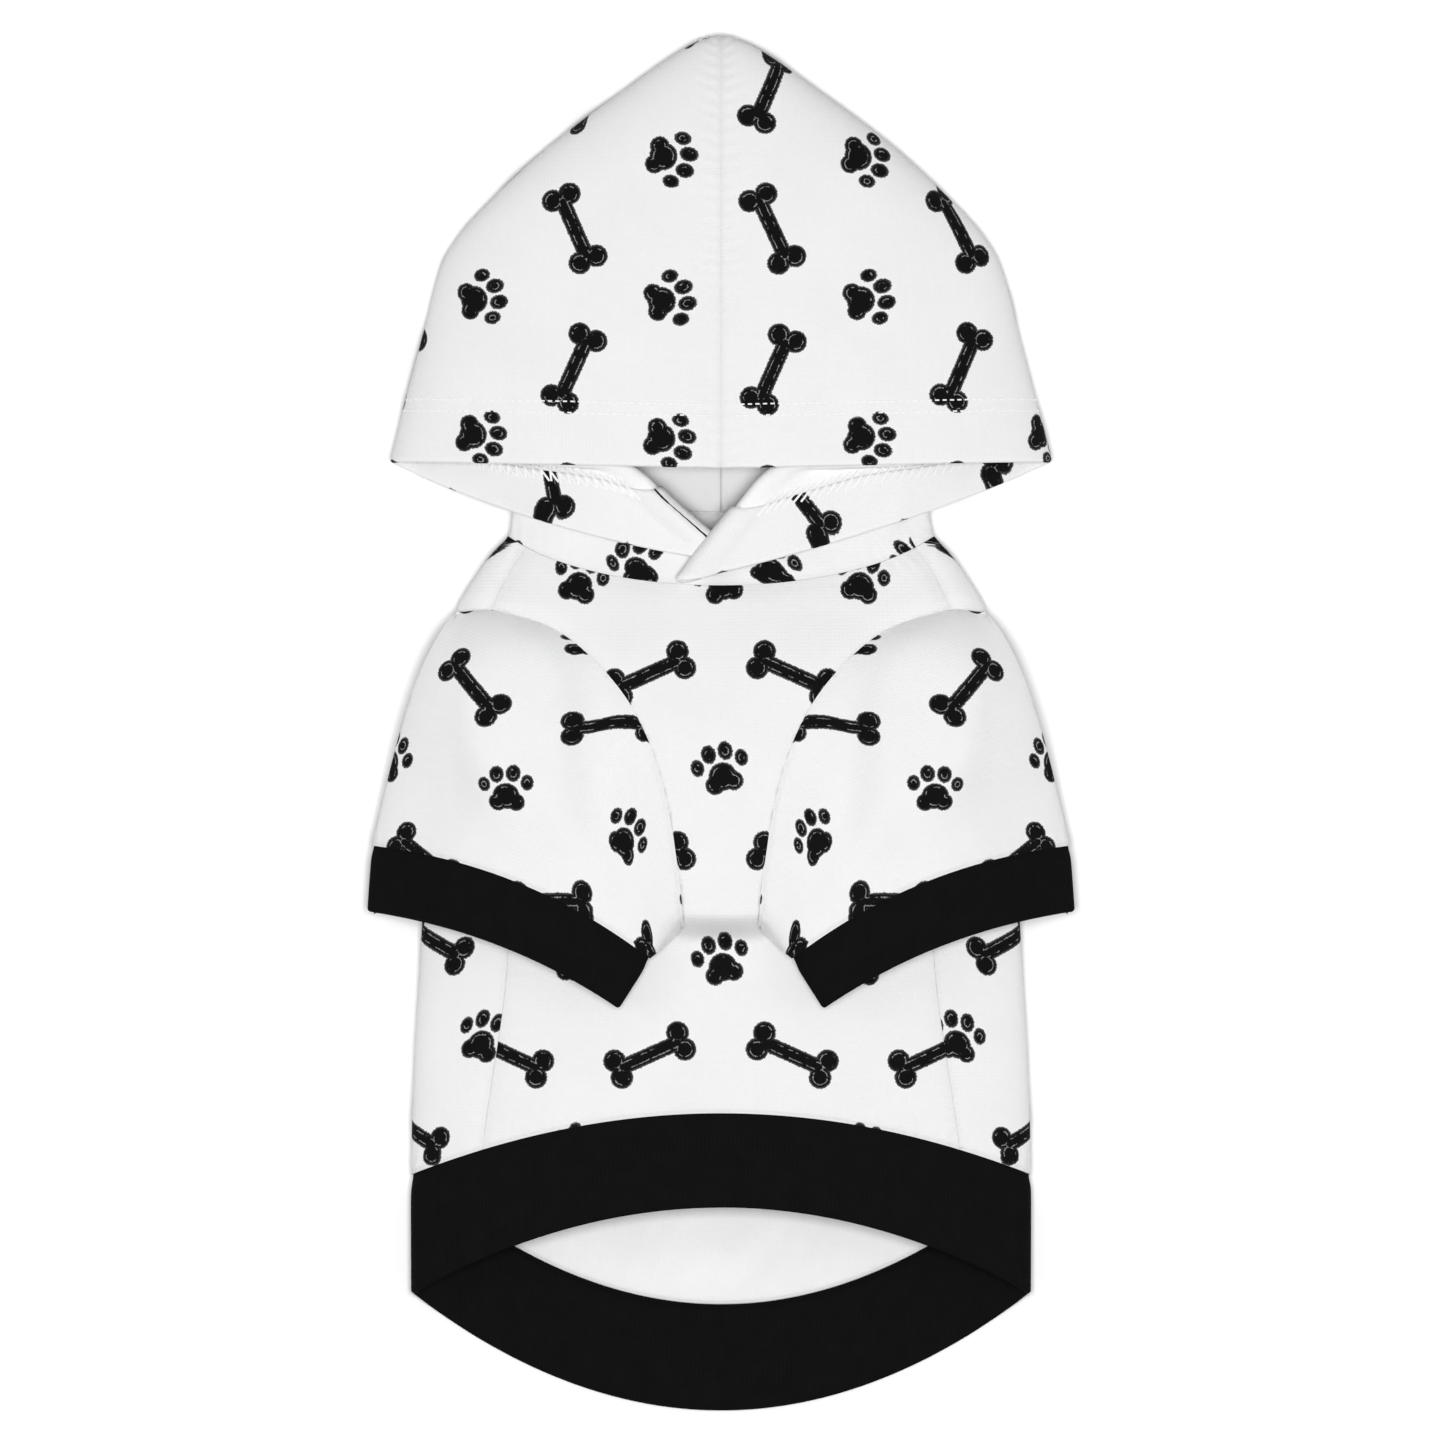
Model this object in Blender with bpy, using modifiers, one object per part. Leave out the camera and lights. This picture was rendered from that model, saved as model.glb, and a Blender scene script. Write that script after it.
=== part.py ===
"""Dog hoodie lying belly up, built as its sewn cloth pieces.

Metres, +Z up. The garment rests on its back on z = 0, with the hood towards +Y and the hem
towards -Y, and the origin is under the middle of its outline.
"""

import math

import bmesh
import bpy

# Walls and clearances.
CLOTH_WALL = 0.0018
RIB_WALL = 0.0022
SEAM_GAP = 0.0006
CUFF_SEAM_GAP = 0.001
LAYER_GAP = 0.001
WELD_DISTANCE = 0.00005

# Lengths along the side of the lying garment, from the hood's tip to the back hem.
HOOD_LENGTH = 0.200
BODY_LENGTH = 0.2556
WAISTBAND_SIDE_DEPTH = 0.0464
WAISTBAND_FRONT_DEPTH = 0.0364
WAISTBAND_BACK_DEPTH = 0.0412
BELLY_RISE = 0.0248
BACK_DROP = 0.0524
NECKLINE_FRONT_DIP = 0.020
NECKLINE_BACK_DIP = 0.0226

# Widths of the lying garment.
BODY_WIDTH = 0.248
HOOD_WIDTH = 0.2648

# Heights of the lying garment: side folds, and the crown of each stretch.
FOLD_HEIGHT = 0.009
CHEST_LOFT = 0.046
BELLY_LOFT = 0.030
HOOD_LOFT = 0.036
HOOD_FOLD_HEIGHT = 0.007
CUFF_LOFT = 0.015

# Neck band: how far its upper edge stands above the neckline at the side, front and back.
NECK_BAND_SIDE_DEPTH = 0.0314
NECK_BAND_FRONT_DEPTH = 0.0074
NECK_BAND_BACK_DEPTH = 0.0320

# Hood: the face opening's corners and forehead edge, below the tip.
FACE_CORNER_DROP = 0.1694
FOREHEAD_DROP = 0.1724
HOOD_CLOSING_LENGTH = 0.075
HOOD_TURN_WIDTH = 0.011
FLAP_BOW = {"left": 0.006, "right": 0.0044}
FLAP_BOW_AT_NECK = 0.0075
FLAP_SIDE_RISE = 0.0016
NECK_BAND_TUCK = 0.006

# Cuffs: depth of the rib, and where the cuff seam and free edge lie.
CUFF_DEPTH = 0.025
CUFF_SEAM_BOW = 0.0085
CUFF_EDGE_BOW = 0.0065
SLEEVE_OUTER_BULGE = 0.0065
SLEEVE_LIFT = 0.0022
SLEEVE_CROWN_RISE = 0.004
SLEEVE_CROWN_BLEND = 0.0015
SLEEVE_HANG_HEIGHT = 0.0055
HOOD_EDGE_REST = 0.0012
FOLD_STEP_LENGTH = 0.012
FOLD_STEP_AT_SIDE = 0.090

# Section shape: how round the crowns are, and how much of the width lies flat on the ground.
CROWN_POWER = 2.4
HOOD_CROWN_POWER = 2.2
CUFF_END_POWER = 3.0
FLAT_SHARE = 0.80
SLEEVE_SUPPORT_SHARE = 0.93
FLAP_SUPPORT_SHARE = 0.86

# Stations along Y that follow from the lengths.
TRUNK_LENGTH = BODY_LENGTH + WAISTBAND_SIDE_DEPTH
HEM_BACK_DROP = BACK_DROP + WAISTBAND_BACK_DEPTH - WAISTBAND_SIDE_DEPTH
HEM_FRONT_RISE = BELLY_RISE + WAISTBAND_SIDE_DEPTH - WAISTBAND_FRONT_DEPTH
TIP_Y = (HOOD_LENGTH + TRUNK_LENGTH + HEM_BACK_DROP) / 2
NECK_SIDE_Y = TIP_Y - HOOD_LENGTH
BAND_SIDE_Y = NECK_SIDE_Y - BODY_LENGTH
HEM_SIDE_Y = BAND_SIDE_Y - WAISTBAND_SIDE_DEPTH
NECK_TOP_SIDE_Y = NECK_SIDE_Y + NECK_BAND_SIDE_DEPTH

# Trunk sections. down: share of TRUNK_LENGTH below the neckline's side, width: share of
# BODY_WIDTH, chest and belly: crown heights as shares of CHEST_LOFT and BELLY_LOFT.
TRUNK = [
    {"down": -0.170, "width": 0.668, "chest": 0.42, "belly": 0.66},
    {"down": -0.104, "width": 0.672, "chest": 0.43, "belly": 0.66},
    {"down": -0.034, "width": 0.672, "chest": 0.45, "belly": 0.68},
    {"down": 0.000, "width": 0.694, "chest": 0.46, "belly": 0.70},
    {"down": 0.046, "width": 0.779, "chest": 0.50, "belly": 0.78},
    {"down": 0.102, "width": 0.860, "chest": 0.62, "belly": 0.90},
    {"down": 0.181, "width": 0.905, "chest": 0.79, "belly": 0.98},
    {"down": 0.313, "width": 0.940, "chest": 0.95, "belly": 1.00},
    {"down": 0.519, "width": 0.965, "chest": 1.00, "belly": 1.00},
    {"down": 0.694, "width": 0.990, "chest": 1.00, "belly": 1.00},
    {"down": 0.846, "width": 1.000, "chest": 1.00, "belly": 0.95},
    {"down": 1.000, "width": 1.000, "chest": 1.00, "belly": 0.90},
    {"down": 1.160, "width": 1.000, "chest": 1.00, "belly": 0.88},
]

# Side seam between the chest and back panels. along: share of the panel from the neckline to
# the waistband, across: share of the half width there.
SIDE_SEAM = [
    {"along": 0.00, "across": 0.875},
    {"along": 0.12, "across": 0.857},
    {"along": 0.35, "across": 0.760},
    {"along": 0.68, "across": 0.708},
    {"along": 1.00, "across": 0.770},
]

# Armhole seams, seen from above. across: share of half BODY_WIDTH, down: share of TRUNK_LENGTH.
UPPER_ARMHOLE = [
    {"across": 0.845, "down": 0.102},
    {"across": 0.726, "down": 0.101},
    {"across": 0.532, "down": 0.126},
    {"across": 0.379, "down": 0.178},
    {"across": 0.263, "down": 0.245},
    {"across": 0.182, "down": 0.336},
    {"across": 0.136, "down": 0.446},
    {"across": 0.118, "down": 0.519},
]
LOWER_ARMHOLE = [
    {"across": 0.118, "down": 0.519},
    {"across": 0.339, "down": 0.456},
    {"across": 0.565, "down": 0.409},
    {"across": 0.754, "down": 0.366},
    {"across": 0.862, "down": 0.290},
    {"across": 0.872, "down": 0.190},
    {"across": 0.845, "down": 0.102},
]

# Ends of the cuff, seen from above, as shares of half BODY_WIDTH and TRUNK_LENGTH.
CUFF_SEAM_ENDS = {
    "inner": {"across": 0.226, "down": 0.560},
    "outer": {"across": 1.126, "down": 0.411},
}
CUFF_EDGE_ENDS = {
    "inner": {"across": 0.322, "down": 0.622},
    "outer": {"across": 1.140, "down": 0.494},
}

# Hood outline. along: place in the panel from nape to throat, across: share of half
# HOOD_WIDTH, down: share of FACE_CORNER_DROP below the tip.
HOOD_OUTLINE = [
    {"along": 0.00, "across": 0.000, "down": 0.000},
    {"along": 0.08, "across": 0.095, "down": 0.024},
    {"along": 0.20, "across": 0.302, "down": 0.134},
    {"along": 0.32, "across": 0.533, "down": 0.271},
    {"along": 0.44, "across": 0.740, "down": 0.425},
    {"along": 0.50, "across": 0.816, "down": 0.499},
    {"along": 0.56, "across": 0.855, "down": 0.564},
    {"along": 0.64, "across": 0.899, "down": 0.699},
    {"along": 0.72, "across": 0.955, "down": 0.864},
    {"along": 1.00, "across": 1.000, "down": 1.000},
]
SLIT_ROW = 16

# Crown of the hood's upper layer. down: share of FACE_CORNER_DROP below the tip, loft: share
# of HOOD_LOFT.
HOOD_CROWN = [
    {"down": 0.00, "loft": 0.72},
    {"down": 0.30, "loft": 0.78},
    {"down": 0.60, "loft": 0.88},
    {"down": 0.85, "loft": 0.98},
    {"down": 1.10, "loft": 1.00},
]

# Roll line of each front flap, from the side of the neck to the throat. across: share of
# half HOOD_WIDTH on the flap's own side (negative past the middle), up: share of
# NECK_BAND_SIDE_DEPTH above the neckline's side.
ROLL_LINES = {
    "right": [
        {"across": 0.635, "up": 1.00},
        {"across": 0.460, "up": 0.92},
        {"across": 0.290, "up": 0.90},
        {"across": 0.150, "up": 0.82},
        {"across": 0.026, "up": 0.22},
        {"across": -0.120, "up": -0.58},
    ],
    "left": [
        {"across": 0.635, "up": 1.00},
        {"across": 0.450, "up": 0.92},
        {"across": 0.300, "up": 0.89},
        {"across": 0.225, "up": 0.72},
        {"across": 0.159, "up": 0.42},
        {"across": 0.035, "up": -0.05},
        {"across": -0.030, "up": -0.33},
    ],
}
FLAP_LIFT = {"left": LAYER_GAP, "right": 2 * LAYER_GAP + CLOTH_WALL}

# Mesh density.
PANEL_ROWS = [0, 0.06, 0.12, 0.2, 0.3, 0.4, 0.5, 0.56, 0.6, 0.625, 0.648, 0.671, 0.7, 0.75,
              0.82, 0.91, 1]
CHEST_COLUMNS = 18
BACK_COLUMNS = [0, 0.04, 0.08, 0.12, 0.155, 0.19, 0.22, 0.25, 0.28, 0.32, 0.38, 0.43, 0.47, 0.5,
                0.53, 0.57, 0.62, 0.68, 0.72, 0.75, 0.78, 0.81, 0.845, 0.88, 0.92, 0.96, 1]
RING_COLUMNS = CHEST_COLUMNS + len(BACK_COLUMNS) - 1
WAISTBAND_ROWS = 3
NECK_BAND_ROWS = 4
SLEEVE_COLUMNS = 32
CUFF_ROWS = 3
HOOD_ROWS = [0, 0.07, 0.12, 0.17, 0.22, 0.27, 0.32, 0.37, 0.42, 0.46, 0.5, 0.54, 0.58, 0.62,
             0.66, 0.69, 0.72, 0.77, 0.82, 0.87, 0.92, 0.96, 1]
SLIT_ALONG = HOOD_ROWS[SLIT_ROW]
UNDER_STEPS = [0, 0.08, 0.25, 0.45, 0.65, 0.82, 0.92, 0.97, 0.992, 1]
OVER_STEPS = [0.985, 0.94, 0.86, 0.74, 0.56, 0.34, 0.12, 0.02]
SLEEVE_STEPS = [0, 0.10, 0.22, 0.36, 0.52, 0.68, 0.84, 1]
ARMHOLE_POINTS = 24
CUTTER_TOP = 0.2

# Colours as linear RGB.
FLEECE_WHITE = (0.86, 0.86, 0.86, 1)
RIB_BLACK = (0.006, 0.006, 0.006, 1)


def mix(a, b, share):
    return a + (b - a) * share


def clamp(value, low=0.0, high=1.0):
    return max(low, min(high, value))


def ease(share):
    """Smooth step from 0 to 1."""
    share = clamp(share)
    return share * share * (3 - 2 * share)


def lower_of(a, b, blend):
    """The lower of two heights, with a soft change from one to the other."""
    gap = (a - b) / blend
    if abs(gap) > 30:
        return min(a, b)
    return a - blend * math.log1p(math.exp(gap))


def read(table, key, at, column):
    """The column's value where the key column has the value at, on a smooth curve."""
    keys = [row[key] for row in table]
    values = [row[column] for row in table]
    last = len(keys) - 1
    k = 0
    while k < last - 1 and at > keys[k + 1]:
        k += 1
    span = keys[k + 1] - keys[k]
    share = clamp((at - keys[k]) / span)

    def slope(i):
        low, high = max(i - 1, 0), min(i + 1, last)
        return (values[high] - values[low]) / (keys[high] - keys[low])

    square, cube = share * share, share ** 3
    return (
        (2 * cube - 3 * square + 1) * values[k]
        + (cube - 2 * square + share) * span * slope(k)
        + (3 * square - 2 * cube) * values[k + 1]
        + (cube - square) * span * slope(k + 1)
    )


def follow(table, columns, share):
    """The named columns at a share of the way through the table's rows."""
    rows = [dict(row, step=i / (len(table) - 1)) for i, row in enumerate(table)]
    return [read(rows, "step", share, column) for column in columns]


def trunk_down(y):
    return (NECK_SIDE_Y - y) / TRUNK_LENGTH


def trunk_half_width(y):
    return BODY_WIDTH / 2 * read(TRUNK, "down", trunk_down(y), "width")


def trunk_place(spot):
    """Plan position of a spot given by its across and down shares."""
    return BODY_WIDTH / 2 * spot["across"], NECK_SIDE_Y - TRUNK_LENGTH * spot["down"]


def fold_line(across):
    """Y of the step where the chest drops to the belly, along the lower armhole seam."""
    share = clamp(across / (BODY_WIDTH / 2), LOWER_ARMHOLE[0]["across"], LOWER_ARMHOLE[4]["across"])
    return NECK_SIDE_Y - TRUNK_LENGTH * read(LOWER_ARMHOLE[:5], "across", share, "down")


def round_over(edge, power):
    """Height share of a soft crown at an edge share of 0 in the middle and 1 on the fold."""
    return (1 - min(edge, 1.0) ** power) ** (1 / power)


def chest_crown(y):
    return CHEST_LOFT * read(TRUNK, "down", trunk_down(y), "chest")


def trunk_top(x, y):
    """Height of the upper, belly side of the trunk."""
    edge = abs(x) / trunk_half_width(y)
    down = trunk_down(y)
    step = mix(FOLD_STEP_LENGTH, FOLD_STEP_AT_SIDE, min(edge, 1.0) ** 2)
    lowered = ease((fold_line(abs(x)) + step / 2 - y) / step)
    belly = BELLY_LOFT * read(TRUNK, "down", down, "belly")
    crown = mix(chest_crown(y), belly, lowered)
    return FOLD_HEIGHT + (crown - FOLD_HEIGHT) * round_over(edge, CROWN_POWER)


def trunk_bottom(edge, fold_height=FOLD_HEIGHT):
    """Height of the lower side: flat on the ground, then rounding up to the side fold."""
    turn = clamp((edge - FLAT_SHARE) / (1 - FLAT_SHARE))
    return fold_height * (1 - math.sqrt(1 - turn * turn))


def trunk_point(angle, front_y, back_y):
    """A point of the trunk at an angle round it: 0 and pi on the side folds, pi/2 on the belly."""
    edge = abs(math.cos(angle)) ** (2 / CROWN_POWER)
    upper = math.sin(angle) >= 0
    y = front_y(edge) if upper else back_y(edge)
    x = math.copysign(edge * trunk_half_width(y), math.cos(angle))
    z = trunk_top(x, y) if upper else trunk_bottom(edge)
    return x, y, z


def line(side_y, middle_y):
    """An edge line across the trunk that runs from its height in the middle to the side's."""
    return lambda edge: mix(middle_y, side_y, edge * edge)


def between(start, end, share):
    return lambda edge: mix(start(edge), end(edge), share)


def shifted(edge_line, distance):
    return lambda edge: edge_line(edge) + distance


NECK_FRONT = line(NECK_SIDE_Y, NECK_SIDE_Y - NECKLINE_FRONT_DIP)
NECK_BACK = line(NECK_SIDE_Y, NECK_SIDE_Y - NECKLINE_BACK_DIP)
BAND_FRONT = line(BAND_SIDE_Y, BAND_SIDE_Y + BELLY_RISE)
BAND_BACK = line(BAND_SIDE_Y, BAND_SIDE_Y - BACK_DROP)
HEM_FRONT = line(HEM_SIDE_Y, HEM_SIDE_Y + HEM_FRONT_RISE)
HEM_BACK = line(HEM_SIDE_Y, HEM_SIDE_Y - HEM_BACK_DROP)


NECK_TOP_BACK = line(NECK_TOP_SIDE_Y, NECK_BACK(0) + NECK_BAND_BACK_DEPTH)


def NECK_TOP_FRONT(edge):
    """The neck band's upper edge at the throat: a V that levels out towards the sides."""
    low = NECK_FRONT(0) + NECK_BAND_FRONT_DEPTH
    tuck = NECK_BAND_TUCK * 4 * edge * (1 - edge)
    return mix(low, NECK_TOP_SIDE_Y, math.sin(math.pi / 2 * min(1.6 * edge, 1.0))) - tuck


def new_material(name, colour, roughness):
    material = bpy.data.materials.new(name)
    material.use_nodes = True
    shader = material.node_tree.nodes["Principled BSDF"]
    shader.inputs["Base Color"].default_value = colour
    shader.inputs["Roughness"].default_value = roughness
    shader.inputs["Metallic"].default_value = 0
    material.diffuse_color = colour
    return material


def new_collection(name):
    collection = bpy.data.collections.new(name)
    bpy.context.scene.collection.children.link(collection)
    return collection


def cloth(name, columns, rows, place, wall, material, collection, turned=False):
    """A sewn piece: a flat grid whose points go where place(u, v) says, given a wall inwards."""
    bm = bmesh.new()
    bmesh.ops.create_grid(bm, x_segments=columns, y_segments=rows, size=0.5)
    for vert in bm.verts:
        vert.co = place(clamp(vert.co.x + 0.5), clamp(vert.co.y + 0.5))
    bmesh.ops.remove_doubles(bm, verts=bm.verts, dist=WELD_DISTANCE)
    if turned:
        bmesh.ops.reverse_faces(bm, faces=bm.faces)
    mesh = bpy.data.meshes.new(name)
    bm.to_mesh(mesh)
    bm.free()
    mesh.materials.append(material)
    mesh.shade_smooth()
    piece = bpy.data.objects.new(name, mesh)
    collection.objects.link(piece)
    thicken = piece.modifiers.new("wall", "SOLIDIFY")
    thicken.thickness = wall
    thicken.offset = -1
    return piece


def seam_edge(along, allowance):
    """Half width share of the side seam, moved outwards by the allowance."""
    across = read(SIDE_SEAM, "along", along, "across")
    y = mix(NECK_SIDE_Y, BAND_SIDE_Y, along)
    return across + allowance / trunk_half_width(y)


def seam_angle(along, allowance):
    return math.acos(seam_edge(along, allowance) ** (CROWN_POWER / 2))


def make_chest_panel(material, collection):
    def place(u, v):
        along = PANEL_ROWS[round(v * (len(PANEL_ROWS) - 1))]
        start = seam_angle(along, -SEAM_GAP / 2)
        front = between(NECK_FRONT, BAND_FRONT, along)
        return trunk_point(mix(start, math.pi - start, u), front, front)

    return cloth("chest_panel", CHEST_COLUMNS, len(PANEL_ROWS) - 1, place, CLOTH_WALL, material, collection)


def make_back_panel(material, collection):
    def place(u, v):
        along = PANEL_ROWS[round(v * (len(PANEL_ROWS) - 1))]
        start = seam_angle(along, SEAM_GAP / 2)
        front = between(NECK_FRONT, BAND_FRONT, along)
        back = between(NECK_BACK, BAND_BACK, along)
        around = BACK_COLUMNS[round(u * (len(BACK_COLUMNS) - 1))]
        return trunk_point(mix(math.pi - start, 2 * math.pi + start, around), front, back)

    columns, rows = len(BACK_COLUMNS) - 1, len(PANEL_ROWS) - 1
    return cloth("back_panel", columns, rows, place, CLOTH_WALL, material, collection)


def ring_angle(u, along):
    """Angles round a band that match the columns of the panels it is sewn to."""
    start = seam_angle(along, 0)
    step = round(u * RING_COLUMNS)
    if step <= CHEST_COLUMNS:
        return mix(start, math.pi - start, step / CHEST_COLUMNS)
    return mix(math.pi - start, 2 * math.pi + start, BACK_COLUMNS[step - CHEST_COLUMNS])


def make_waistband(material, collection):
    def place(u, v):
        front = between(shifted(BAND_FRONT, -SEAM_GAP), HEM_FRONT, v)
        back = between(shifted(BAND_BACK, -SEAM_GAP), HEM_BACK, v)
        return trunk_point(ring_angle(u, 1), front, back)

    return cloth("waistband", RING_COLUMNS, WAISTBAND_ROWS, place, RIB_WALL, material, collection)


def make_neck_band(material, collection):
    def place(u, v):
        front = between(shifted(NECK_FRONT, SEAM_GAP), NECK_TOP_FRONT, v)
        back = between(shifted(NECK_BACK, SEAM_GAP), NECK_TOP_BACK, v)
        return trunk_point(ring_angle(u, 0), front, back)

    return cloth("neck_band", RING_COLUMNS, NECK_BAND_ROWS, place, CLOTH_WALL, material, collection, turned=True)


def armhole_spot(share):
    """Plan position round the armhole: 0 at the shoulder, 0.5 at the armpit, 1 at the shoulder."""
    if share <= 0.5:
        across, down = follow(UPPER_ARMHOLE, ("across", "down"), 2 * share)
    else:
        across, down = follow(LOWER_ARMHOLE, ("across", "down"), 2 * share - 1)
    return trunk_place({"across": across, "down": down})


def armhole_inset(share, distance):
    """A spot round the armhole, moved into the hole by a distance."""
    small = 0.004
    x0, y0 = armhole_spot((share - small) % 1)
    x1, y1 = armhole_spot((share + small) % 1)
    length = math.hypot(x1 - x0, y1 - y0)
    x, y = armhole_spot(share)
    return x - (y1 - y0) / length * distance, y + (x1 - x0) / length * distance


def cuff_line(ends, bow, across):
    """Plan position along a cuff edge: 0 at its inner end, 1 at its outer end."""
    x0, y0 = trunk_place(ends["inner"])
    x1, y1 = trunk_place(ends["outer"])
    length = math.hypot(x1 - x0, y1 - y0)
    out = bow * 4 * across * (1 - across)
    return mix(x0, x1, across) - (y1 - y0) / length * out, mix(y0, y1, across) + (x1 - x0) / length * out


def sleeve_rest(x, y):
    """Height that the sleeve's underside lies at: on the belly, then hanging past the side."""
    support = SLEEVE_SUPPORT_SHARE * trunk_half_width(y)
    if abs(x) <= support:
        return trunk_top(x, y) + SLEEVE_LIFT
    outer = trunk_place(CUFF_SEAM_ENDS["outer"])[0]
    hang = clamp((abs(x) - support) / (outer - support))
    return mix(trunk_top(support, y) + SLEEVE_LIFT, SLEEVE_HANG_HEIGHT, hang)


def cuff_point(share, ends, bow, slack=0.0):
    """A point round the flattened cuff: 0 at the outer end, 0.25 on top, 0.5 at the inner end."""
    angle = 2 * math.pi * share
    reach = math.copysign(abs(math.cos(angle)) ** (2 / CUFF_END_POWER), math.cos(angle))
    lift = math.copysign(abs(math.sin(angle)) ** (2 / CUFF_END_POWER), math.sin(angle))
    x, y = cuff_line(ends, bow, 0.5 + 0.5 * reach)
    half = CUFF_LOFT / 2 + slack
    return x, y, sleeve_rest(x, y) + CUFF_LOFT / 2 + half * lift


def make_cuff(side, name, material, collection):
    def place(u, v):
        start = cuff_point(u, CUFF_SEAM_ENDS, CUFF_SEAM_BOW)
        end = cuff_point(u, CUFF_EDGE_ENDS, CUFF_EDGE_BOW)
        gap = CUFF_SEAM_GAP / CUFF_DEPTH
        x, y, z = (mix(a, b, mix(gap, 1, v)) for a, b in zip(start, end))
        return side * x, y, z

    return cloth(name, SLEEVE_COLUMNS, CUFF_ROWS, place, RIB_WALL, material, collection, turned=side < 0)


def make_sleeve(side, name, material, collection):
    def place(u, v):
        along = SLEEVE_STEPS[round(v * (len(SLEEVE_STEPS) - 1))]
        x0, y0 = armhole_inset(u, SEAM_GAP)
        x1, y1, z1 = cuff_point(u, CUFF_SEAM_ENDS, CUFF_SEAM_BOW)
        swell = math.sin(math.pi * along ** 0.6)
        outward = max(math.cos(2 * math.pi * u), 0.0) ** 2
        x = mix(x0, x1, along) + SLEEVE_OUTER_BULGE * swell * outward
        y = mix(y0, y1, along)
        turn = math.sin(2 * math.pi * u)
        lift = 0.5 + 0.5 * math.copysign(abs(turn) ** (2 / CUFF_END_POWER), turn)
        opened = 1 - (1 - along) ** 8
        attached = SLEEVE_LIFT * (1 - opened) * ease(4 * turn)
        under = sleeve_rest(x, y)
        level = mix(trunk_top(x0, y0), sleeve_rest(x1, y1) + CUFF_LOFT, along)
        puffed = under - attached + CUFF_LOFT * opened
        outer_share = ease((x / trunk_half_width(y) - 0.4) / 0.3)
        crown = chest_crown(y) + SLEEVE_CROWN_RISE
        over = lower_of(mix(level, puffed, outer_share), crown, SLEEVE_CROWN_BLEND)
        spanned = mix(trunk_top(x0, y0) + SLEEVE_LIFT, sleeve_rest(x1, y1), along)
        under = mix(under, spanned, ease(2 * turn) * (1 - outer_share))
        return side * x, y, mix(mix(under, over, lift), z1, ease(2 * along - 1))

    rows = len(SLEEVE_STEPS) - 1
    return cloth(name, SLEEVE_COLUMNS, rows, place, CLOTH_WALL, material, collection, turned=side < 0)


def hood_half_width(y):
    """Half width of the hood's outline at a height below the tip."""
    drop = clamp((TIP_Y - y) / FACE_CORNER_DROP)
    return HOOD_WIDTH / 2 * read(HOOD_OUTLINE, "down", drop, "across")


def hood_top(x, y):
    """Height of the hood's upper layer, closing towards the tip."""
    drop = (TIP_Y - y) / FACE_CORNER_DROP
    half = max(hood_half_width(y), HOOD_TURN_WIDTH / 2)
    closing = round_over(1 - clamp((TIP_Y - y) / HOOD_CLOSING_LENGTH), HOOD_CROWN_POWER)
    crown = HOOD_LOFT * read(HOOD_CROWN, "down", drop, "loft")
    bulge = round_over(abs(x) / half, HOOD_CROWN_POWER)
    return HOOD_FOLD_HEIGHT + (crown - HOOD_FOLD_HEIGHT) * bulge * closing


def hood_outline(along):
    across = read(HOOD_OUTLINE, "along", along, "across")
    down = read(HOOD_OUTLINE, "along", along, "down")
    return HOOD_WIDTH / 2 * across, TIP_Y - FACE_CORNER_DROP * down, down


def hood_neck_spot(along, flap):
    """The hood panel's neck edge: along the back of the neck band, then down the roll line."""
    if along <= SLIT_ALONG:
        edge = along / SLIT_ALONG
        y = NECK_TOP_BACK(edge) + SEAM_GAP
        return edge * trunk_half_width(y), y, trunk_bottom(edge)
    share = (along - SLIT_ALONG) / (1 - SLIT_ALONG)
    across, up = follow(ROLL_LINES[flap], ("across", "up"), share)
    x = HOOD_WIDTH / 2 * across
    y = NECK_SIDE_Y + NECK_BAND_SIDE_DEPTH * up
    return x, y, flap_height(x, y, flap)


def flap_height(x, y, flap):
    """Height of a front flap's underside: over the neck, then sloping to the outline's fold."""
    neck = FLAP_SUPPORT_SHARE * trunk_half_width(y)
    lift = mix(FLAP_LIFT["left"], FLAP_LIFT[flap], ease((0.7 - abs(x) / neck) / 0.4))
    lift += FLAP_SIDE_RISE * ease((abs(x) / neck - 0.4) / 0.4)
    if abs(x) <= neck:
        return trunk_top(x, y) + lift
    slide = clamp((abs(x) - neck) / (HOOD_WIDTH / 2 - HOOD_TURN_WIDTH - neck))
    return mix(trunk_top(neck, y) + lift, HOOD_EDGE_REST, slide)


def hood_under(along, share, flap):
    """A point of the hood's lower layer, from the neck edge to the outline."""
    x0, y0, z0 = hood_neck_spot(along, flap)
    x1, y1, _ = hood_outline(along)
    bow = 0
    if along > SLIT_ALONG:
        bow = mix(FLAP_BOW_AT_NECK, FLAP_BOW[flap], (along - SLIT_ALONG) / (1 - SLIT_ALONG))
    x = mix(x0, x1, share)
    y = mix(y0, y1, share) - bow * 4 * share * (1 - share)
    reach = math.hypot(x1 - x0, y1 - y0) * (1 - share)
    turn = 1 - clamp(reach / HOOD_TURN_WIDTH)
    rolled = 1 - math.sqrt(1 - turn * turn)
    laid = z0 * (1 - ease(share * 1.5))
    draped = mix(z0, HOOD_EDGE_REST, ease(share)) if along <= SLIT_ALONG else flap_height(x, y, flap)
    height = mix(laid, draped, ease((along - SLIT_ALONG + 0.14) / 0.14))
    return x, y, mix(height, HOOD_FOLD_HEIGHT, rolled)


def hood_over(along, share):
    """A point of the hood's upper layer: share 1 on the outline, 0 on the centre seam."""
    x1, y1, down = hood_outline(along)
    y0 = TIP_Y - mix(FACE_CORNER_DROP, FOREHEAD_DROP, down) * down
    y = mix(y0, y1, share)
    x = x1 * share
    return x, y, hood_top(x, y)


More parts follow.
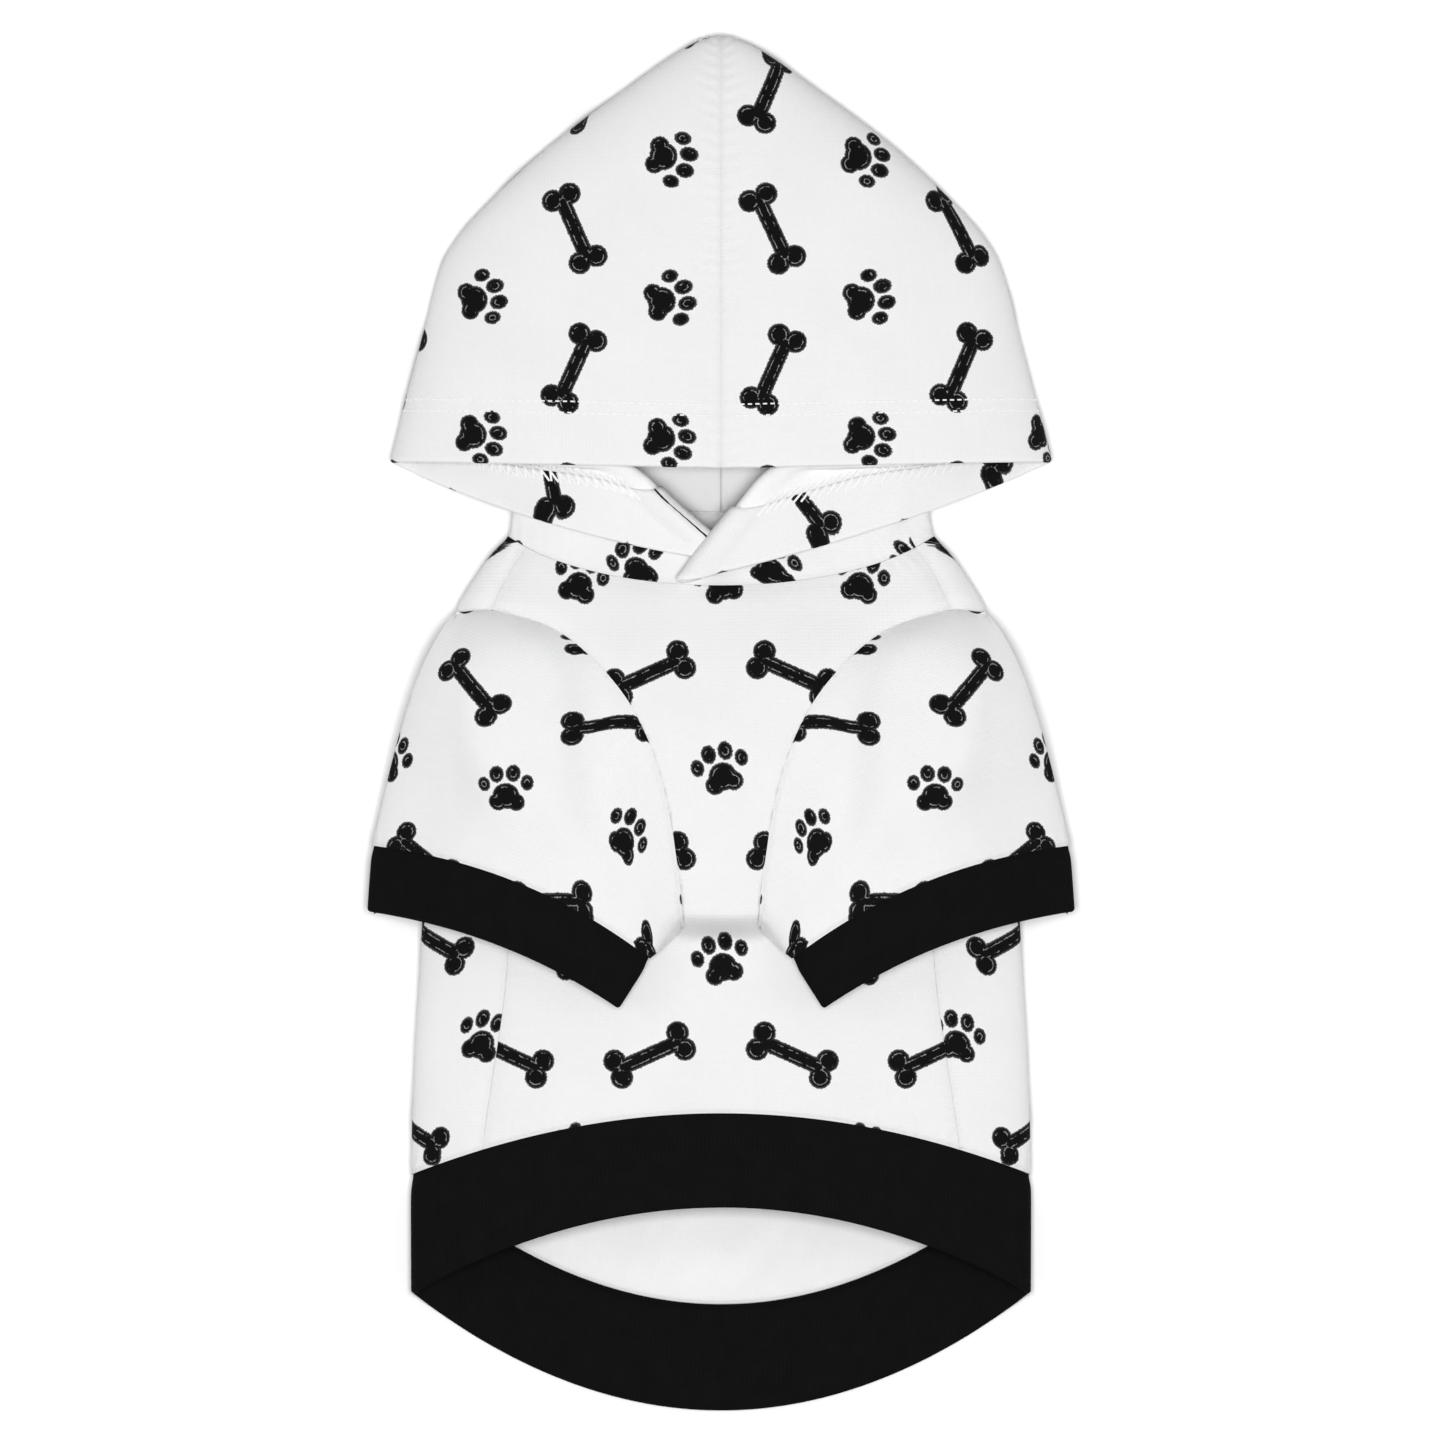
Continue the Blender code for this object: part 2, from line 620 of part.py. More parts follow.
def make_hood(side, name, flap, material, collection):
    steps = len(UNDER_STEPS) + len(OVER_STEPS) - 1

    def place(u, v):
        step = round(u * steps)
        along = HOOD_ROWS[round(v * (len(HOOD_ROWS) - 1))]
        if step < len(UNDER_STEPS):
            x, y, z = hood_under(along, UNDER_STEPS[step], flap)
        else:
            x, y, z = hood_over(along, OVER_STEPS[step - len(UNDER_STEPS)])
        if v == 0:
            near_tip = UNDER_STEPS[min(step, len(UNDER_STEPS) - 1)] ** 40
            x = mix(SEAM_GAP / 2, CLOTH_WALL, near_tip)
        elif step == steps:
            x = SEAM_GAP / 2
        return side * x, y, z

    return cloth(name, steps, len(HOOD_ROWS) - 1, place, CLOTH_WALL, material, collection, turned=side < 0)


def make_armhole_cutter(side, name, collection):
    """An upright prism over the armhole, above the side fold."""
    bm = bmesh.new()
    outline = []
    for k in range(2 * ARMHOLE_POINTS):
        x, y = armhole_spot(k / (2 * ARMHOLE_POINTS))
        outline.append(bm.verts.new((side * x, y, FOLD_HEIGHT)))
    floor = bm.faces.new(outline)
    raised = bmesh.ops.extrude_face_region(bm, geom=[floor])
    tops = [item for item in raised["geom"] if isinstance(item, bmesh.types.BMVert)]
    bmesh.ops.translate(bm, verts=tops, vec=(0, 0, CUTTER_TOP))
    bmesh.ops.recalc_face_normals(bm, faces=bm.faces)
    mesh = bpy.data.meshes.new(name)
    bm.to_mesh(mesh)
    bm.free()
    cutter = bpy.data.objects.new(name, mesh)
    collection.objects.link(cutter)
    cutter.hide_render = True
    cutter.display_type = "WIRE"
    return cutter


def cut(piece, cutter):
    hole = piece.modifiers.new(cutter.name, "BOOLEAN")
    hole.operation = "DIFFERENCE"
    hole.object = cutter
    hole.solver = "EXACT"


def main():
    for old in list(bpy.data.objects):
        bpy.data.objects.remove(old, do_unlink=True)
    parts = new_collection("dog_hoodie")
    cutters = new_collection("cutters")
    fleece = new_material("white_fleece", FLEECE_WHITE, 0.85)
    rib = new_material("black_rib", RIB_BLACK, 0.9)

    chest = make_chest_panel(fleece, parts)
    back = make_back_panel(fleece, parts)
    make_waistband(rib, parts)
    make_neck_band(fleece, parts)
    for side, word in ((1, "right"), (-1, "left")):
        make_hood(side, "hood_" + word, word, fleece, parts)
        make_sleeve(side, "sleeve_" + word, fleece, parts)
        make_cuff(side, "cuff_" + word, rib, parts)
        cutter = make_armhole_cutter(side, "armhole_cutter_" + word, cutters)
        cut(chest, cutter)
        cut(back, cutter)


main()
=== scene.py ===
# %% [markdown]
# # A dog hoodie, lying belly up
# This lesson dresses a plain solid model of a small knitted hoodie with real-looking cloth. Each
# sewn piece is one grid that is bent by a short rule, given soft seams, turned edges and a wall,
# and then a knitted, printed or ribbed finish.

import math

import bmesh
import bpy
import numpy as np
from mathutils import Matrix, Vector, noise


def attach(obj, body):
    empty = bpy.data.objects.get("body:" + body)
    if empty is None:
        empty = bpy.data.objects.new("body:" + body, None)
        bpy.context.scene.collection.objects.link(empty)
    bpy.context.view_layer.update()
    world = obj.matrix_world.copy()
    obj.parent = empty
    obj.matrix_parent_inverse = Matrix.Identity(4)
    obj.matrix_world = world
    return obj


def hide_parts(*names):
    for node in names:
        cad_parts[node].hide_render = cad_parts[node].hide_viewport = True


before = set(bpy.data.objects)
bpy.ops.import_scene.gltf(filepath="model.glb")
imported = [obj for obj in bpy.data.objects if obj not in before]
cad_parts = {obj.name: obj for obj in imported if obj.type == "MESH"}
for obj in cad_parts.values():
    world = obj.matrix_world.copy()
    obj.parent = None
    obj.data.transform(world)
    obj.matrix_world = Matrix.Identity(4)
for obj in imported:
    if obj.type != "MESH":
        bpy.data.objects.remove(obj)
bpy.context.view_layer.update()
print("solids:", sorted(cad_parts))

# %% [markdown]
# ## Camera
# The garment was photographed from straight above. A long lens from high up keeps the outline
# true, and the frame is a square whose side is 1445 picture elements of 0.4 mm, measured at the
# height of the garment's side folds.

# %% Camera
PICTURE_SIDE = 1445
METRES_PER_ELEMENT = 0.0004
CAMERA_HEIGHT = 6.0
SCALE_HEIGHT = 0.010
PICTURE_CENTRE = (0.0006, -0.0004)
SENSOR = 36.0


def put(name, data):
    """A new object with this data, linked to the scene."""
    piece = bpy.data.objects.new(name, data)
    bpy.context.scene.collection.objects.link(piece)
    return piece


view_side = PICTURE_SIDE * METRES_PER_ELEMENT
lens = bpy.data.cameras.new("from_above")
lens.sensor_width = SENSOR
lens.lens = SENSOR * (CAMERA_HEIGHT - SCALE_HEIGHT) / view_side
lens.clip_end = 20
camera = put("from_above", lens)
camera.location = (*PICTURE_CENTRE, CAMERA_HEIGHT)
bpy.context.scene.camera = camera
print("lens:", round(lens.lens, 1), "mm, view side:", round(view_side, 3), "m")

# %% [markdown]
# ## Floor and light
# A plain pale sweep of paper carries the garment. One large soft lamp overhead, two weaker ones at
# the sides and a faint, even sky give the shallow shading and the thin contact shadow of a
# product picture.

# %% Floor and light
FLOOR_SIDE = 6.0
SHARP_FOLD = math.radians(50)
SKY_STRENGTH = 0.22
LAMPS = {
    "overhead": {"place": (0.0, -0.10, 2.2), "size": 0.7, "power": 41.5},
    "left_side": {"place": (-1.5, 0.3, 0.8), "size": 1.0, "power": 3},
    "right_side": {"place": (1.5, 0.1, 0.8), "size": 1.0, "power": 3},
}


def new_material(name, roughness):
    material = bpy.data.materials.new(name)
    material.use_nodes = True
    shader = material.node_tree.nodes["Principled BSDF"]
    shader.inputs["Roughness"].default_value = roughness
    return material, shader


def flat_material(name, colour, roughness):
    material, shader = new_material(name, roughness)
    shader.inputs["Base Color"].default_value = colour
    return material


def object_from(bm, name, materials):
    mesh = bpy.data.meshes.new(name)
    bm.to_mesh(mesh)
    bm.free()
    for material in materials:
        mesh.materials.append(material)
    mesh.shade_smooth()
    mesh.set_sharp_from_angle(angle=SHARP_FOLD)
    return put(name, mesh)


bm = bmesh.new()
bmesh.ops.create_grid(bm, x_segments=1, y_segments=1, size=FLOOR_SIDE / 2)
floor = object_from(bm, "paper_sweep", [flat_material("pale_paper", (0.95, 0.95, 0.95, 1), 0.9)])


def soft_lamp(name, place, size, power):
    lamp = bpy.data.lights.new(name, "AREA")
    lamp.shape = "SQUARE"
    lamp.size = size
    lamp.energy = power
    holder = put(name, lamp)
    holder.location = place
    holder.rotation_euler = (-Vector(place)).to_track_quat("-Z", "Y").to_euler()


for name, lamp in LAMPS.items():
    soft_lamp(name, **lamp)
sky = bpy.data.worlds.new("even_sky")
bpy.context.scene.world = sky
sky.use_nodes = True
sky_light = sky.node_tree.nodes["Background"]
sky_light.inputs["Color"].default_value = (1.0, 1.0, 1.0, 1)
sky_light.inputs["Strength"].default_value = SKY_STRENGTH
bpy.context.scene.view_settings.view_transform = "Standard"
print("lamps:", list(LAMPS))

# %% [markdown]
# ## Sizes
# The garment's sizes are those of the solid model, in metres. Lengths in the tables are shares of
# them, so each edge line stays where the solids have it.

# %% Sizes
HOOD_LENGTH = 0.200
BODY_LENGTH = 0.2556
WAISTBAND_SIDE_DEPTH = 0.0464
WAISTBAND_FRONT_DEPTH = 0.0364
WAISTBAND_BACK_DEPTH = 0.0412
BELLY_RISE = 0.0248
BACK_DROP = 0.0524
NECKLINE_FRONT_DIP = 0.020
NECKLINE_BACK_DIP = 0.0226
BODY_WIDTH = 0.248
HOOD_WIDTH = 0.2648
FOLD_HEIGHT = 0.009
CHEST_LOFT = 0.046
BELLY_LOFT = 0.030
HOOD_LOFT = 0.036
HOOD_FOLD_HEIGHT = 0.007
CUFF_LOFT = 0.015
NECK_BAND_SIDE_DEPTH = 0.0314
NECK_BAND_FRONT_DEPTH = 0.0074
NECK_BAND_BACK_DEPTH = 0.0320
FACE_CORNER_DROP = 0.1694
FOREHEAD_DROP = 0.1724
HOOD_CLOSING_LENGTH = 0.075
HOOD_TURN_WIDTH = 0.011
FLAP_BOW = {"left": 0.006, "right": 0.0044}
FLAP_BOW_AT_NECK = 0.0075
FLAP_SIDE_RISE = 0.0016
NECK_BAND_TUCK = 0.006
NECK_BAND_SPREAD = 1.6
CUFF_DEPTH = 0.025
CUFF_SEAM_BOW = 0.0085
CUFF_EDGE_BOW = 0.0065
SLEEVE_OUTER_BULGE = 0.0065
SLEEVE_LIFT = 0.0022
SLEEVE_CROWN_RISE = 0.004
SLEEVE_CROWN_BLEND = 0.0015
SLEEVE_HANG_HEIGHT = 0.0055
HOOD_EDGE_REST = 0.0012
FOLD_STEP_LENGTH = 0.012
FOLD_STEP_AT_SIDE = 0.090
CROWN_POWER = 2.4
HOOD_CROWN_POWER = 2.2
CUFF_END_POWER = 3.0
FLAT_SHARE = 0.80
SLEEVE_SUPPORT_SHARE = 0.93
FLAP_SUPPORT_SHARE = 0.86
LAYER_GAP = 0.001
SOLID_WALL = 0.0018

TRUNK_LENGTH = BODY_LENGTH + WAISTBAND_SIDE_DEPTH
HEM_BACK_DROP = BACK_DROP + WAISTBAND_BACK_DEPTH - WAISTBAND_SIDE_DEPTH
HEM_FRONT_RISE = BELLY_RISE + WAISTBAND_SIDE_DEPTH - WAISTBAND_FRONT_DEPTH
TIP_Y = (HOOD_LENGTH + TRUNK_LENGTH + HEM_BACK_DROP) / 2
NECK_SIDE_Y = TIP_Y - HOOD_LENGTH
BAND_SIDE_Y = NECK_SIDE_Y - BODY_LENGTH
HEM_SIDE_Y = BAND_SIDE_Y - WAISTBAND_SIDE_DEPTH
NECK_TOP_SIDE_Y = NECK_SIDE_Y + NECK_BAND_SIDE_DEPTH
print("tip:", round(TIP_Y, 4), "side hem:", round(HEM_SIDE_Y, 4))

# %% [markdown]
# The cloth itself: a soft knit about 1.3 mm thick. Seams draw the cloth in, and what is left of it
# inside, the seam allowance, turns inwards by a few millimetres. Hems and ribs are the cloth turned
# back on itself.

# %% Cloth sizes
WALL = 0.0013
SEAM_GAP = 0.00006
ALLOWANCE = 0.0035
FLAT_ALLOWANCE = 0.0004
TURN_RADIUS = 0.0014
HEM_DEPTH = 0.0215
ROLL_RISE = 0.0034
ROLL_RADIUS = 0.0019
ROLL_REACH = 0.016
ROLL_INSET = 0.0026
CREASE_HEIGHT = 0.0011
CREASE_SIZE = 0.055
CREASE_SHIFT = Vector((3.7, 1.9, 5.3))
CREASE_FLATNESS = 0.2
FINE_CREASE = {"scale": 2.1, "share": 0.5}
GROUND_ZONE = 0.005
SEAM_DIP = 0.0009
RIB_SEAM_DIP = 0.0002
HOOD_SEAM_DIP = 0.0016
HOOD_SEAM_REACH = 0.009
SEAM_REACH = 0.0042
PUCKER = 0.00026
PUCKER_PITCH = 0.0052
PUCKER_REACH = 0.007
PUCKER_CLEAR = 0.0018
PUCKER_SWAY = {"turn": 2.2, "along": 0.017, "away": 0.004}
UP = np.array([0.0, 0.0, 1.0])

# %% Tables of the outline and sections


def table_of(columns, *rows):
    """Rows of values under named columns."""
    return [dict(zip(columns.split(), row)) for row in rows]


TRUNK = table_of(
    "down width chest belly",
    (-0.170, 0.668, 0.42, 0.66),
    (-0.104, 0.672, 0.43, 0.66),
    (-0.034, 0.672, 0.45, 0.68),
    (0.000, 0.694, 0.46, 0.70),
    (0.046, 0.779, 0.50, 0.78),
    (0.102, 0.860, 0.62, 0.90),
    (0.181, 0.905, 0.79, 0.98),
    (0.313, 0.940, 0.95, 1.00),
    (0.519, 0.965, 1.00, 1.00),
    (0.694, 0.990, 1.00, 1.00),
    (0.846, 1.000, 1.00, 0.95),
    (1.000, 1.000, 1.00, 0.90),
    (1.160, 1.000, 1.00, 0.88),
)
SIDE_SEAM = table_of(
    "along across",
    (0.00, 0.875),
    (0.12, 0.857),
    (0.35, 0.760),
    (0.68, 0.708),
    (1.00, 0.770),
)
UPPER_ARMHOLE = table_of(
    "across down",
    (0.845, 0.102),
    (0.726, 0.101),
    (0.532, 0.126),
    (0.379, 0.178),
    (0.263, 0.245),
    (0.182, 0.336),
    (0.136, 0.446),
    (0.118, 0.519),
)
LOWER_ARMHOLE = table_of(
    "across down",
    (0.118, 0.519),
    (0.339, 0.456),
    (0.565, 0.409),
    (0.754, 0.366),
    (0.862, 0.290),
    (0.872, 0.190),
    (0.845, 0.102),
)
CUFF_SEAM_ENDS = {"inner": {"across": 0.226, "down": 0.560}, "outer": {"across": 1.126, "down": 0.411}}
CUFF_EDGE_ENDS = {"inner": {"across": 0.322, "down": 0.622}, "outer": {"across": 1.140, "down": 0.494}}
HOOD_OUTLINE = table_of(
    "along across down",
    (0.00, 0.000, 0.000),
    (0.08, 0.095, 0.024),
    (0.20, 0.302, 0.134),
    (0.32, 0.533, 0.271),
    (0.44, 0.740, 0.425),
    (0.50, 0.816, 0.499),
    (0.56, 0.855, 0.564),
    (0.64, 0.899, 0.699),
    (0.72, 0.955, 0.864),
    (1.00, 1.000, 1.000),
)
HOOD_CROWN = table_of(
    "down loft",
    (0.00, 0.72),
    (0.30, 0.78),
    (0.60, 0.88),
    (0.85, 0.98),
    (1.10, 1.00),
)
ROLL_LINES = {
    "right": table_of(
        "across up",
        (0.635, 1.00),
        (0.460, 0.92),
        (0.290, 0.90),
        (0.150, 0.82),
        (0.026, 0.22),
        (-0.120, -0.58),
    ),
    "left": table_of(
        "across up",
        (0.635, 1.00),
        (0.450, 0.92),
        (0.300, 0.89),
        (0.225, 0.72),
        (0.159, 0.42),
        (0.035, -0.05),
        (-0.030, -0.33),
    ),
}
FLAP_LIFT = {"left": LAYER_GAP, "right": 2 * LAYER_GAP + SOLID_WALL}
SLIT_ALONG = 0.72
print("rows of the trunk:", len(TRUNK), "and of the hood:", len(HOOD_OUTLINE))

# %% [markdown]
# ## Reading the tables
# A table gives a few listed stations. Between them the value runs on a smooth curve, so a
# fine grid shows no corners.

# %% Helpers for numbers


def mix(a, b, share):
    return a + (b - a) * share


def clamp(value, low=0.0, high=1.0):
    return max(low, min(high, value))


def ease(share):
    """Smooth step from 0 to 1."""
    share = clamp(share)
    return share * share * (3 - 2 * share)


def lower_of(a, b, blend):
    """The lower of two heights, with a soft change from one to the other."""
    gap = (a - b) / blend
    if abs(gap) > 30:
        return min(a, b)
    return a - blend * math.log1p(math.exp(gap))


def read(table, key, at, column):
    """The column's value where the key column has the value at, on a smooth curve."""
    last = len(table) - 1
    k = 0
    while k < last - 1 and at > table[k + 1][key]:
        k += 1
    span = table[k + 1][key] - table[k][key]
    share = clamp((at - table[k][key]) / span)

    def slope(i):
        low, high = table[max(i - 1, 0)], table[min(i + 1, last)]
        return (high[column] - low[column]) / (high[key] - low[key])

    square, cube = share * share, share ** 3
    return (
        (2 * cube - 3 * square + 1) * table[k][column]
        + (cube - 2 * square + share) * span * slope(k)
        + (3 * square - 2 * cube) * table[k + 1][column]
        + (cube - square) * span * slope(k + 1)
    )


def stepped(table):
    """The table with a column that counts evenly from 0 to 1."""
    return [dict(row, step=i / (len(table) - 1)) for i, row in enumerate(table)]


UPPER_STEPS, LOWER_STEPS = stepped(UPPER_ARMHOLE), stepped(LOWER_ARMHOLE)
ROLL_STEPS = {flap: stepped(table) for flap, table in ROLL_LINES.items()}

# %% [markdown]
# ## The trunk's form
# The body is a flattened tube that lies on its back: flat below, softly crowned above, folded at
# the sides. Just below the armpits the full chest drops to the flatter belly in a soft step.

# %% Trunk form


def trunk_down(y):
    return (NECK_SIDE_Y - y) / TRUNK_LENGTH


def trunk_half_width(y):
    return BODY_WIDTH / 2 * read(TRUNK, "down", trunk_down(y), "width")


def aside(x, y, start, end, distance):
    """The spot x, y moved to the left of the way from start to end, in plan."""
    way_x, way_y = end[0] - start[0], end[1] - start[1]
    length = math.hypot(way_x, way_y)
    return x - way_y / length * distance, y + way_x / length * distance


def trunk_place(across, down):
    return BODY_WIDTH / 2 * across, NECK_SIDE_Y - TRUNK_LENGTH * down


def fold_line(across):
    """Y of the step where the chest drops to the belly, along the lower armhole seam."""
    share = clamp(across / (BODY_WIDTH / 2), LOWER_ARMHOLE[0]["across"], LOWER_ARMHOLE[4]["across"])
    return NECK_SIDE_Y - TRUNK_LENGTH * read(LOWER_ARMHOLE[:5], "across", share, "down")


def round_over(edge, power):
    """Height share of a soft crown at an edge share of 0 in the middle and 1 on the fold."""
    return (1 - min(edge, 1.0) ** power) ** (1 / power)


def chest_crown(y):
    return CHEST_LOFT * read(TRUNK, "down", trunk_down(y), "chest")


def trunk_top(x, y):
    """Height of the upper, belly side of the trunk."""
    edge = abs(x) / trunk_half_width(y)
    step = mix(FOLD_STEP_LENGTH, FOLD_STEP_AT_SIDE, min(edge, 1.0) ** 2)
    lowered = ease((fold_line(abs(x)) + step / 2 - y) / step)
    belly = BELLY_LOFT * read(TRUNK, "down", trunk_down(y), "belly")
    crown = mix(chest_crown(y), belly, lowered)
    return FOLD_HEIGHT + (crown - FOLD_HEIGHT) * round_over(edge, CROWN_POWER)


def trunk_bottom(edge):
    """Height of the lower side: flat on the ground, then rounding up to the side fold."""
    turn = clamp((edge - FLAT_SHARE) / (1 - FLAT_SHARE))
    return FOLD_HEIGHT * (1 - math.sqrt(1 - turn * turn))


def trunk_point(angle, front_y, back_y):
    """A point of the trunk at an angle round it: 0 and pi on the side folds, pi/2 on the belly."""
    edge = abs(math.cos(angle)) ** (2 / CROWN_POWER)
    upper = math.sin(angle) >= 0
    y = front_y(edge) if upper else back_y(edge)
    x = math.copysign(edge * trunk_half_width(y), math.cos(angle))
    return x, y, trunk_top(x, y) if upper else trunk_bottom(edge)


def line(side_y, middle_y):
    """An edge line across the trunk that runs from its height in the middle to the side's."""
    return lambda edge: mix(middle_y, side_y, edge * edge)


def between(start, end, share):
    return lambda edge: mix(start(edge), end(edge), share)


def shifted(edge_line, distance):
    return lambda edge: edge_line(edge) + distance


neck_front = line(NECK_SIDE_Y, NECK_SIDE_Y - NECKLINE_FRONT_DIP)
neck_back = line(NECK_SIDE_Y, NECK_SIDE_Y - NECKLINE_BACK_DIP)
band_front = line(BAND_SIDE_Y, BAND_SIDE_Y + BELLY_RISE)
band_back = line(BAND_SIDE_Y, BAND_SIDE_Y - BACK_DROP)
hem_front = line(HEM_SIDE_Y, HEM_SIDE_Y + HEM_FRONT_RISE)
hem_back = line(HEM_SIDE_Y, HEM_SIDE_Y - HEM_BACK_DROP)
neck_top_back = line(NECK_TOP_SIDE_Y, neck_back(0) + NECK_BAND_BACK_DEPTH)


def neck_top_front(edge):
    """The neck band's upper edge at the throat: a V that levels out towards the sides."""
    low = neck_front(0) + NECK_BAND_FRONT_DEPTH
    tuck = NECK_BAND_TUCK * 4 * edge * (1 - edge)
    return mix(low, NECK_TOP_SIDE_Y, math.sin(math.pi / 2 * min(NECK_BAND_SPREAD * edge, 1.0))) - tuck


def seam_angle(along, allowance):
    """Angle of the side seam, moved outwards by an allowance."""
    y = mix(NECK_SIDE_Y, BAND_SIDE_Y, along)
    across = read(SIDE_SEAM, "along", along, "across") + allowance / trunk_half_width(y)
    return math.acos(across ** (CROWN_POWER / 2))


print("chest height:", round(trunk_top(0, 0), 4), "belly height:", round(trunk_top(0, -0.13), 4))

# %% [markdown]
# ## One way to sew them all
# Every piece is a grid of points, as rows of columns. Arrays make it easy to measure along the
# cloth, to press its seams in, to turn its edges and to add creases; a bmesh grid of the same size
# then takes the points, so its faces and their order come from the operator.

# %% Measuring and pressing a grid of points


def lay(columns, rows, place):
    """The points of a grid, as an array of rows by columns by three."""
    across = [i / columns for i in range(columns + 1)]
    return np.array([[place(u, j / rows) for u in across] for j in range(rows + 1)], float)


def unit(vectors):
    return vectors / np.maximum(np.linalg.norm(vectors, axis=-1, keepdims=True), 1e-12)


def normals_of(points, turned=False, ring=False):
    across = np.gradient(points, axis=1)
    if ring:
        across[:, 0] = across[:, -1] = (points[:, 1] - points[:, -2]) / 2
    along = np.gradient(points, axis=0)
    return unit(np.cross(across, along) * (-1 if turned else 1))


def run(points, axis):
    """Length along the cloth from the first row (axis 0) or column (axis 1)."""
    steps = np.linalg.norm(np.diff(points, axis=axis), axis=2)
    start = np.zeros_like(np.take(steps, [0], axis=axis))
    return np.concatenate([start, np.cumsum(steps, axis=axis)], axis=axis)


def from_edges(points, edges):
    """Distance from the named edges, along the cloth, and the run along each of them."""
    along, across = run(points, 0), run(points, 1)
    found = {
        "start": (along, across),
        "end": (along[-1:] - along, across),
        "first": (across, along),
        "last": (across[:, -1:] - across, along),
    }
    return [found[edge] for edge in edges]


def press_seams(points, out, edges, depth=SEAM_DIP, width=SEAM_REACH, pucker=PUCKER):
    """Seams draw the cloth down along their edges, with small irregular puckers beside them."""
    for away, along in from_edges(points, edges):
        near = np.exp(-(away / width) ** 2)
        sway = PUCKER_SWAY["turn"] * np.sin(along / PUCKER_SWAY["along"]) + away / PUCKER_SWAY["away"]
        wave = np.sin(2 * math.pi * along / PUCKER_PITCH + sway)
        beside = np.exp(-(away / PUCKER_REACH) ** 2) - np.exp(-(away / PUCKER_CLEAR) ** 2)
        points = points + out * (pucker * wave * beside - depth * near)[..., None]
    return points


def crease(points, side=1):
    """Broad soft unevenness of the cloth, one field for all pieces, so they meet at their seams.
    It fades out where the cloth rests on the ground."""
    scale = Vector((side, 1, CREASE_FLATNESS)) / CREASE_SIZE
    lift = np.zeros(points.shape[:2])
    for j, row in enumerate(points):
        for i, spot in enumerate(row):
            at = Vector(spot) * scale + CREASE_SHIFT
            fine = noise.noise(at * FINE_CREASE["scale"] + CREASE_SHIFT)
            lift[j, i] = noise.noise(at) + FINE_CREASE["share"] * fine
    free = np.clip((points[..., 2] - GROUND_ZONE) / GROUND_ZONE, 0, 1)
    return points + UP * (CREASE_HEIGHT * lift * free)[..., None]


# %% Turning and folding edges
TURN_STEPS = (0.15, 0.5, 1.0)
ARC_STEPS = 6


def turn_in(points, out, edge, depth):
    """Adds the seam allowance: three rows or columns that go inwards from an edge."""
    def as_last(grid):
        grid = grid.swapaxes(0, 1) if edge in ("first", "last") else grid
        return grid[::-1] if edge in ("start", "first") else grid

    def as_laid(grid):
        grid = grid[::-1] if edge in ("start", "first") else grid
        return grid.swapaxes(0, 1) if edge in ("first", "last") else grid

    grid, outs = as_last(points), as_last(out)
    depth = np.broadcast_to(np.asarray(depth, float), grid.shape[1:2])[:, None]
    extra = [grid[-1] - outs[-1] * depth * share for share in TURN_STEPS]
    extra_outs = [outs[-1]] * len(TURN_STEPS)
    return as_laid(np.concatenate([grid, extra])), as_laid(np.concatenate([outs, extra_outs]))


def fold_under(points, out, back_rows, radius=TURN_RADIUS):
    """Turns the cloth in at its last row: a half circle, then the rows of the inner layer."""
    base, normal = points[-1], out[-1]
    forward = base - points[-3]
    forward = unit(forward - normal * np.sum(forward * normal, axis=1, keepdims=True))
    arc = []
    for step in range(1, ARC_STEPS + 1):
        angle = math.pi * step / (ARC_STEPS + 1)
        arc.append(base + forward * radius * math.sin(angle) - normal * radius * (1 - math.cos(angle)))
    inner = [spot - direction * 2 * radius for spot, direction in back_rows]
    return np.concatenate([points, np.array(arc), np.array(inner)])


def reach_of(away, depth, smooth=0):
    """For each column, the row (a fraction) that lies a depth away from the last one."""
    last = len(away) - 1
    depth = np.broadcast_to(np.asarray(depth, float), away.shape[1:])
    rows = np.arange(last, -1, -1.0)
    found = np.array([np.interp(deep, away[::-1, i], rows) for i, deep in enumerate(depth)])
    for _ in range(smooth):
        found[1:-1] = (found[:-2] + 2 * found[1:-1] + found[2:]) / 4
    return found


def at_rows(grid, rows):
    """The grid's values at a row (a fraction) of each column."""
    low = np.clip(rows.astype(int), 0, len(grid) - 2)
    share = (rows - low)[:, None]
    column = np.arange(grid.shape[1])
    return mix(grid[low, column], grid[low + 1, column], share)


def rows_back(points, out, reach, rows):
    """Rows of the outer layer, from its last row back to a reach, with their normals."""
    found = []
    for step in range(rows + 1):
        at = mix(np.full(len(reach), len(points) - 1.0), reach, step / rows)
        found.append((at_rows(points, at), unit(at_rows(out, at))))
    return found


# %% From points to a piece of cloth
WELD_DISTANCE = 0.00002


